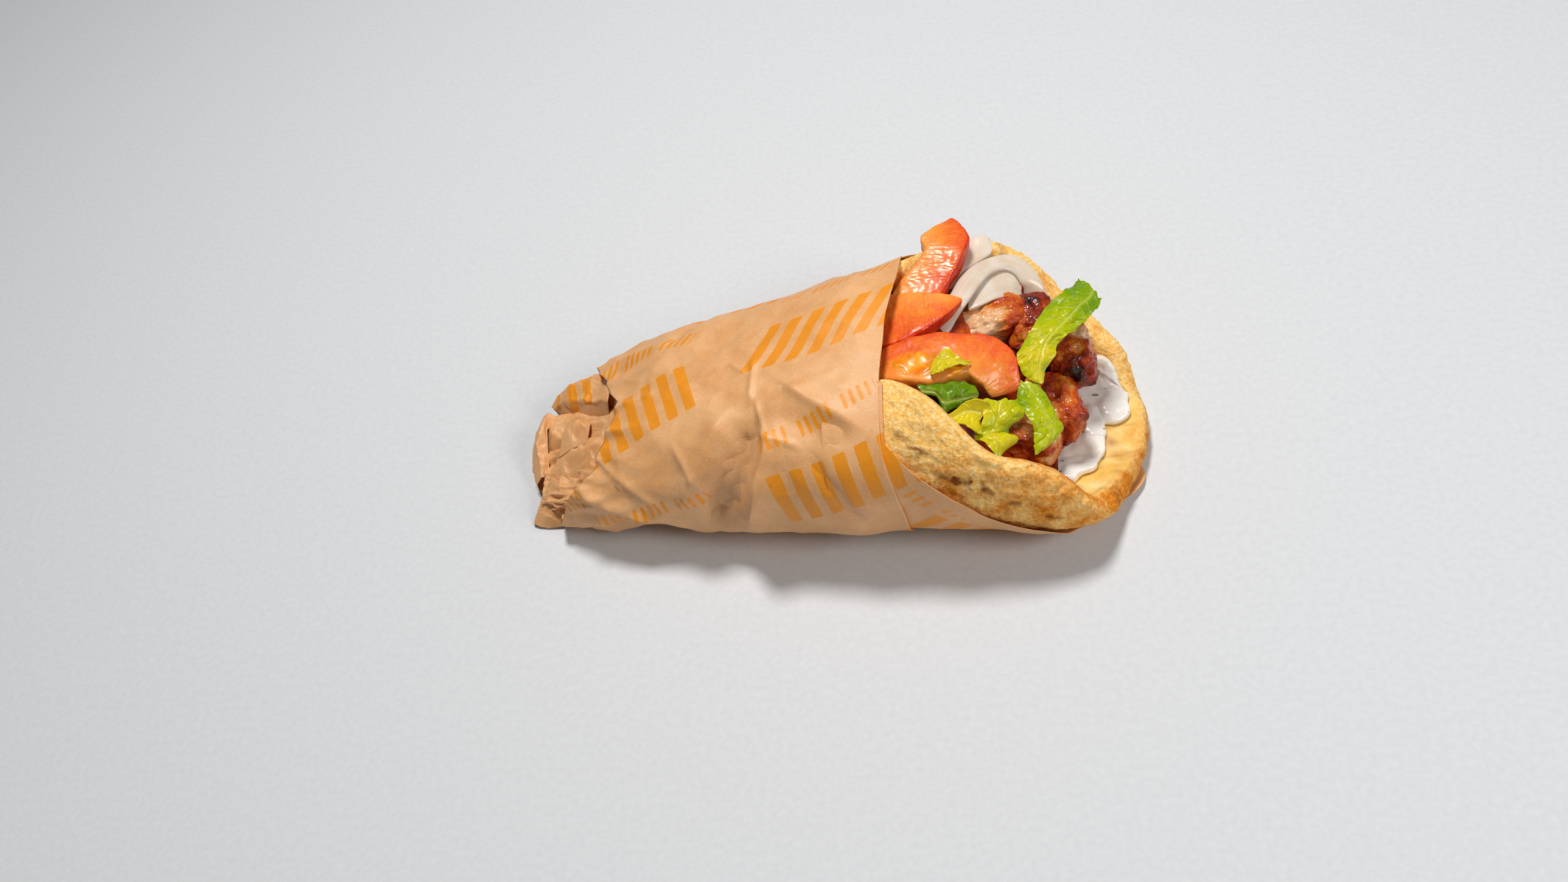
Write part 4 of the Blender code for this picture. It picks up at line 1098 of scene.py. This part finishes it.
ONIONS = [
    onion(1, "onion_1",
          [(156.9, 48.4, 50), (155, 43.1, 49.5), (152.9, 38.3, 49), (150.6, 32.8, 48.5), (147.9, 26.8, 48)],
          [(163.4, 49, 49), (163.7, 42.4, 48.5), (159.1, 37.6, 48.5), (154.6, 33, 48.5), (150.3, 27.2, 48)],
          0.5),
    onion(2, "onion_2",
          [(137.8, 7.5, 48), (145.1, 14.9, 49), (149.6, 22, 50), (153.1, 29.2, 50.5), (158, 35.6, 50),
           (163.9, 39.5, 49), (169.7, 41, 47.5), (174.5, 39.1, 46), (178.1, 34.8, 43.5), (179.8, 31.5, 41),
           (180.4, 28.8, 38)],
          [(149.1, 7.5, 48), (152.6, 14.6, 49), (155.9, 19.6, 50), (159.1, 25.5, 50), (162.1, 30.4, 49.5),
           (165.4, 33.4, 48.5), (168.5, 34.4, 47), (171.1, 33.4, 45.5), (172.8, 31.3, 43.5),
           (173.3, 30.6, 41), (172.7, 29.7, 38)], 0.6),
    onion(3, "onion_2",
          [(155.6, 25.2, 47.6), (160.1, 31, 48), (165.1, 35.2, 47.5), (169.8, 35, 45.6), (173.2, 33.6, 42.4)],
          [(155.5, 18.5, 47), (160.4, 20.6, 47), (165.2, 23.6, 46), (169.9, 25.4, 43.5), (172.9, 27.2, 40.5)],
          -0.5),
]
print(len(ONIONS), "pieces of onion")

# %% [markdown]
# ### Lettuce
# A torn lettuce leaf has a pale midrib, side veins that leave it at an angle, and blisters
# of leaf between them. Its edges grow faster than its middle, which is why they ruffle. The
# sheet is worked out from the place along and across the leaf, so veins and blisters follow
# it, and the same numbers go to the material.

# %% Lettuce material
def lettuce_leaf():
    """A fresh leaf: green with light coming through, paler along its veins, with painted shade."""
    made, tree, shader = new_material("fresh_lettuce")
    place = add(tree, "TexCoord", out="Object")
    patch, fine = (add(tree, "TexNoise", {"Vector": place, "Scale": 1000 / grain_mm}) for grain_mm in (7, 1))
    green_tone_and_painted_shade, vein = (add(tree, "Attribute", out="Fac", attribute_name=name) for name in ("green_tone_and_painted_shade", "vein"))
    # The ramp runs from yellow to deep green: the leaf's own tone, with painted shade where the mark says so.
    green = add(tree, "ValToRGB", {0: uneven(tree, green_tone_and_painted_shade, patch, 0.5)}, (
        (0.0, "e0c81c"), (1.0, "1e5a0c"), (0.25, "b6be04"), (0.6, "6e9802")))
    cells = add(tree, "ValToRGB", {0: fine}, ((0.35, "7e9400"), (0.7, "d4d820")))
    green = add(tree, "Mix", {0: 0.12, 6: green, 7: cells}, out=2, data_type="RGBA")
    pale = add(tree, "Math", {0: vein, 1: 0.4}, operation="MULTIPLY")
    wire(tree, shader, {
        "Base Color": add(tree, "Mix", {0: pale, 6: green, 7: linear("dfe070")}, out=2, data_type="RGBA"),
        "Roughness": 0.3, "Specular IOR Level": 0.2, "Coat Weight": 0.1, "Coat Roughness": 0.12,
        "Subsurface Weight": 0.25, "Subsurface Radius": (0.0015, 0.003, 0.0006), "Subsurface Scale": 0.5,
        "Normal": add(tree, "Bump", {"Strength": 0.3, "Distance": 0.0003, "Height": fine}),
    })
    return made


LEAF_LOOK = lettuce_leaf()


# %% Lettuce leaves
def leaf(number, left, right, green_tone_and_painted_shade, cup, frill, midrib=0.0):
    """A torn leaf: cupped, ruffled towards its edges, blistered between its veins."""
    rows, cols, seed = 36 * len(left), 90, 31 + number
    t, middle, half, up = rails(left, right, rows)
    v = np.linspace(-1, 1, cols)
    a = np.linalg.norm(half, axis=1)[:, None]
    along = np.cumsum(np.linalg.norm(np.diff(middle, axis=0, prepend=middle[:1]), axis=-1))[:, None]
    flat = np.stack([along + 0 * v, v * a, np.full((rows, cols), seed * 7.0)], -1)
    edge = flat * [1, 0, 1] + np.array([0, 9, 0]) * np.sign(v)[None, :, None]
    across = v * (1 + 0.10 * rough(edge, 4.5, seed, 3)) + 0 * t[:, None]
    gap = np.abs(flat[..., 1] - midrib * a)
    phase = (along + gap * 0.9 + 1.6 * bumps(flat, 6, seed + 3)) / 5.2
    branch = bell((phase - np.round(phase)) * 5.2, 0.22) * smooth(gap, 0.3, 1.0)
    vein = np.clip(bell(gap, 0.5) + 0.5 * branch, 0, 1)
    blister = 1.1 * np.abs(bumps(flat, 4.2, seed + 6)) + 0.2 * bumps(flat, 1.7, seed + 7)
    ruffle = frill * (0.25 + v**2) * 1.7 * bumps(flat * [1, 0.35, 1], 7.0, seed + 9)
    height = cup * (v**2 - 0.35) * a / 2 + blister * (1 - 0.7 * vein) + ruffle - 0.2 * vein
    torn = np.abs(2 * t - 1)[:, None] ** 12 * 1.6 * rough(flat * [0, 1, 1], 3.5, seed + 11, 2)
    run = unit(np.gradient(middle, axis=0))[:, None]
    points = middle[:, None] + half[:, None] * across[..., None]
    points = points + up[:, None] * height[..., None] + run * torn[..., None]
    # tone is the leaf's green from yellow to deep green, darker towards the edges, with painted shade where
    # the ruffles dip and painted light where they rise.
    tone = curve(t, np.linspace(0, 1, len(green_tone_and_painted_shade)), green_tone_and_painted_shade)[:, None] + 0.12 * (np.abs(v) - 0.5) - 0.25 * ruffle
    obj = sheet_mesh(f"lettuce_leaf_{number}", points, LEAF_LOOK, {"vein": vein, "green_tone_and_painted_shade": tone})
    return thicken(finish(obj, f"lettuce_{number}"), 0.5)


LETTUCE = [
    leaf(1, [(145, -16.2, 56.2), (147, -17, 57), (148.8, -15.8, 57.2), (150.8, -14.3, 57.2),
             (152.9, -13, 56.8), (155.1, -13.2, 56), (156.6, -11.6, 55.2)],
         [(145.3, -14.4, 56.5), (147, -10.9, 57.6), (150.1, -7.2, 58), (151.7, -8.8, 57.6),
          (153.6, -10.3, 57.2), (155.1, -11.1, 56.3), (157.1, -10.6, 55.5)], (-0.15, -0.1), 0.3, 0.4),
    leaf(2, [(175.9, -14.2, 46.5), (172.5, -11.6, 49), (170.7, -7.1, 50.5), (172.8, -1.8, 52),
             (175.9, 3.5, 53), (179.6, 10, 53), (183.7, 16.3, 52), (187.9, 21.2, 50), (191.1, 27.4, 48)],
         [(178, -13.5, 46.5), (179.6, -9.1, 47.5), (182.2, -4.8, 49), (183.9, -0.7, 50), (186.6, 2.1, 50),
          (190.7, 6.2, 49.5), (194, 10.4, 49), (196.1, 13.9, 48), (197.5, 17.8, 47)],
         (0.05, 0.1, 0.15, 0.3, 0.62, 0.6), -0.5, 0.55, 0.25),
    leaf(3, [(170.7, -11.8, 46.5), (170.5, -19.4, 46), (172, -23.8, 45), (174.4, -28, 43.5),
             (174.5, -31.6, 41.5), (174.6, -34.9, 39.5)],
         [(177.3, -14.4, 45), (178.5, -17.1, 44.5), (180.1, -20.5, 43.5), (181.5, -24.4, 42),
          (182.9, -26.9, 40), (178.1, -32.1, 38.5)], (0.3, 0.42, 0.25, 0.3), -0.5, 0.35, 0.2),
    leaf(4, [(140.6, -17.1, 54), (145.2, -17, 54.5), (148.8, -16, 54.5), (152.3, -15.7, 53.5),
             (155.4, -15.3, 52), (157.9, -15.3, 50)],
         [(142, -20.5, 54), (146.4, -22.1, 54), (148.8, -26.7, 53), (152.2, -24.7, 51.5),
          (155.7, -22.5, 50), (158.8, -19.8, 48)], (0.85, 0.8, 0.7), -0.9, 0.3, 0.5),
    leaf(5, [(150.5, -27.5, 51), (154.6, -25.1, 52.5), (158.1, -23.6, 52), (161, -23.9, 51),
             (161.1, -25.1, 50)],
         [(152.2, -30.4, 51), (154.4, -31.5, 51), (156.3, -32.9, 50), (157.7, -32.7, 48.5),
          (158.8, -32.4, 47)], (-0.1, 0.0), 1.1, 0.8, -0.4),
    leaf(6, [(160.2, -22.4, 50), (159.8, -26.4, 49.5), (159.2, -30.6, 48.5), (157.6, -33.6, 47.5),
             (159.7, -35.3, 46.5), (162.2, -37.3, 45), (163.4, -38.5, 44)],
         [(171.7, -20.1, 46.5), (171.8, -23.3, 46), (170.8, -25.8, 45), (167.8, -29, 44),
          (169.7, -31.5, 43), (165.9, -34.9, 42), (164.6, -36.6, 42)],
         (0.3, 0.2, 0.1, 0.35), -0.5, 1.1, -0.3),
]
print(len(LETTUCE), "pieces of lettuce")

# %% [markdown]
# ### White sauce
# Yoghurt or mayonnaise sauce is thick and glossy. It spreads in rounded lobes with soft
# folds where it was spooned, and carries bits of herb and cucumber.

# %% Sauce material and pools
def white_sauce():
    """Thick cream: nearly white, light scatters a long way inside."""
    made, tree, shader = new_material("yoghurt_sauce")
    place = add(tree, "TexCoord", out="Object")
    cloud, specks, ripples = (
        add(tree, "TexNoise", {"Vector": place, "Scale": 1000 / grain_mm, "Detail": detail})
        for grain_mm, detail in ((8, 3.0), (2.2, 1.0), (3, 1.0)))
    base = add(tree, "ValToRGB", {0: cloud}, ((0.3, "fdf3e4"), (0.65, "fffdf8")))
    bits = add(tree, "MapRange", {0: specks, 1: 0.70, 2: 0.74})
    wire(tree, shader, {
        "Base Color": add(tree, "Mix", {0: bits, 6: base, 7: linear("8f9a63")}, out=2, data_type="RGBA"),
        "Roughness": 0.2, "Coat Weight": 0.3, "Coat Roughness": 0.05,
        "Subsurface Weight": 0.25, "Subsurface Radius": (0.002, 0.0015, 0.001), "Subsurface Scale": 0.5,
        "Normal": add(tree, "Bump", {"Strength": 0.2, "Distance": 0.0004, "Height": ripples}),
    })
    return made


SAUCE_LOOK = white_sauce()


# %% Pools of sauce
def pool(number, node, outline, thick, seed):
    """A pool on the bread from its outline of places (x, w): a domed, swirled top, a flat underside."""
    spokes, rings = 200, 48
    loop = np.array(outline + outline[:3], float)
    edge = curve(1 + np.arange(spokes) / spokes * len(outline), np.arange(len(loop)), loop)
    centre = edge.mean(0)
    edge = edge + 0.35 * bumps(np.stack([edge[:, 0], edge[:, 1], 0 * edge[:, 0]], -1), 3.0, seed + 1)[:, None]
    t = np.linspace(0.03, 1, rings)
    share = np.concatenate([np.sin(t * np.pi / 2), [0.94, 0.6, 0.3]])[:, None]
    dome = np.concatenate([np.sqrt(np.maximum(1 - t**4, 0)) * 0.95 + 0.05, [0, 0, 0]])[:, None]
    x = centre[0] + (edge[:, 0] - centre[0]) * share
    w = centre[1] + (edge[:, 1] - centre[1]) * share
    point = np.stack([x, w, 0 * x], -1)
    swirl = 0.9 * bumps(point, 8.5, seed + 2) + 0.4 * bumps(point, 3.6, seed + 3)
    points = around(x, w, -BREAD - dome * (thick + swirl) - 0.7)
    poles = [around(centre[0], float(centre[1]), -BREAD - 0.7 - high) for high in (thick, 0)]
    obj = tube_mesh(f"sauce_pool_{number}", points, np.array(poles), SAUCE_LOOK)
    return finish(obj, node)


SAUCE = [
    pool(1, "white_sauce_1",
         [(201, 33), (205, 30.5), (206.5, 24.8), (205, 16), (204.2, 5), (204.4, 0), (201.5, -3), (197, -3.8),
          (193, -2.7), (187, 2.5), (183, 6), (182, 12), (187, 20), (194, 28)], 2.6, 21),
    pool(2, "white_sauce_2",
         [(186, -7.5), (194.4, -7.8), (195.7, -13.2), (193.2, -20.7), (191.9, -24), (187.8, -26), (184, -30),
          (175, -24), (177, -16), (181, -10)], 2.6, 22),
    pool(3, "white_sauce_1",
         [(188, 3), (193.5, 3.5), (196, -4), (195.5, -9.5), (190, -9), (187.5, -3)], 2.9, 23),
]
print(len(SAUCE), "pools of sauce")

# %% [markdown]
# ## Camera, light and floor
# The camera looks down from above the near side, as a person at the table does, and is turned
# a little about its own axis. Its lens is a moderately wide one of about 31 mm.

# %% Camera
BACK = (0.21058673, -0.60127758, 0.77079083)
RIGHT = (0.97526476, 0.07504253, -0.20791169)
ABOVE = (0.06717054, 0.79550857, 0.60220779)
EYE = (np.array([185.67, -277.47, 364.63]) - ORIGIN) / 1000
SENSOR_MM, FOCAL_PIXELS, PICTURE_PIXELS = 36.0, 2200, 2576


def turned(right, above, back, place):
    """A matrix that places a thing: its columns are three directions and the place."""
    columns = np.column_stack([right, above, back, place])
    return Matrix(np.vstack([columns, [0, 0, 0, 1]]).tolist())


def camera():
    """A camera whose focal length is the sensor's width times focal pixels over picture pixels."""
    made = put("camera", bpy.data.cameras.new("camera"))
    made.data.sensor_width = SENSOR_MM
    made.data.lens = SENSOR_MM * FOCAL_PIXELS / PICTURE_PIXELS
    made.data.clip_start = 0.01
    made.matrix_world = turned(RIGHT, ABOVE, BACK, EYE)
    bpy.context.scene.camera = made
    print("camera with a lens of", round(made.data.lens, 1), "mm")


camera()


# %% Light and floor
def soft_light(name, place, aim, size, power, tone):
    """An area light that faces a point."""
    made = put(name, bpy.data.lights.new(name, "AREA"))
    made.data.shape = "DISK"
    made.data.size = size
    made.data.energy = power
    made.data.color = linear(tone)[:3]
    back = unit(np.array(place, float) - np.array(aim, float))
    right = unit(np.cross([0, 0, 1.0], back))
    made.matrix_world = turned(right, np.cross(back, right), back, place)


def studio():
    """A key light overhead and a little behind, a softer light from the open end, and a pale room."""
    soft_light("key_light", (-0.05, 0.26, 0.98), (0, 0, 0.02), 0.24, 7.9, "fffcf8")
    soft_light("side_light", (0.78, -0.40, 0.72), (0.04, 0, 0.02), 0.4, 4.4, "fffefc")
    world = bpy.data.worlds.new("room")
    world.use_nodes = True
    world.node_tree.nodes["Background"].inputs[0].default_value = linear("f2f3f5")
    world.node_tree.nodes["Background"].inputs[1].default_value = 0.12
    bpy.context.scene.world = world
    bpy.context.scene.view_settings.view_transform = "Standard"


def floor():
    """A pale matt table top."""
    half = 2.5
    mesh = bpy.data.meshes.new("floor")
    square = [(-half, -half, 0), (half, -half, 0), (half, half, 0), (-half, half, 0)]
    mesh.from_pydata(square, [], [(0, 1, 2, 3)])
    made, tree, shader = new_material("pale_table_top")
    place = add(tree, "TexCoord", out="Object")
    grain = add(tree, "TexNoise", {"Vector": place, "Scale": 1000 / 2, "Detail": 3.0})
    tone = add(tree, "ValToRGB", {0: grain}, ((0.3, "d7dade"), (0.7, "dde0e4")))
    wire(tree, shader, {"Base Color": tone, "Roughness": 0.8})
    mesh.materials.append(made)
    put("floor", mesh)


studio()
floor()

# %% Count of pieces
print(len(PIECES), "pieces")
bpy.context.view_layer.update()
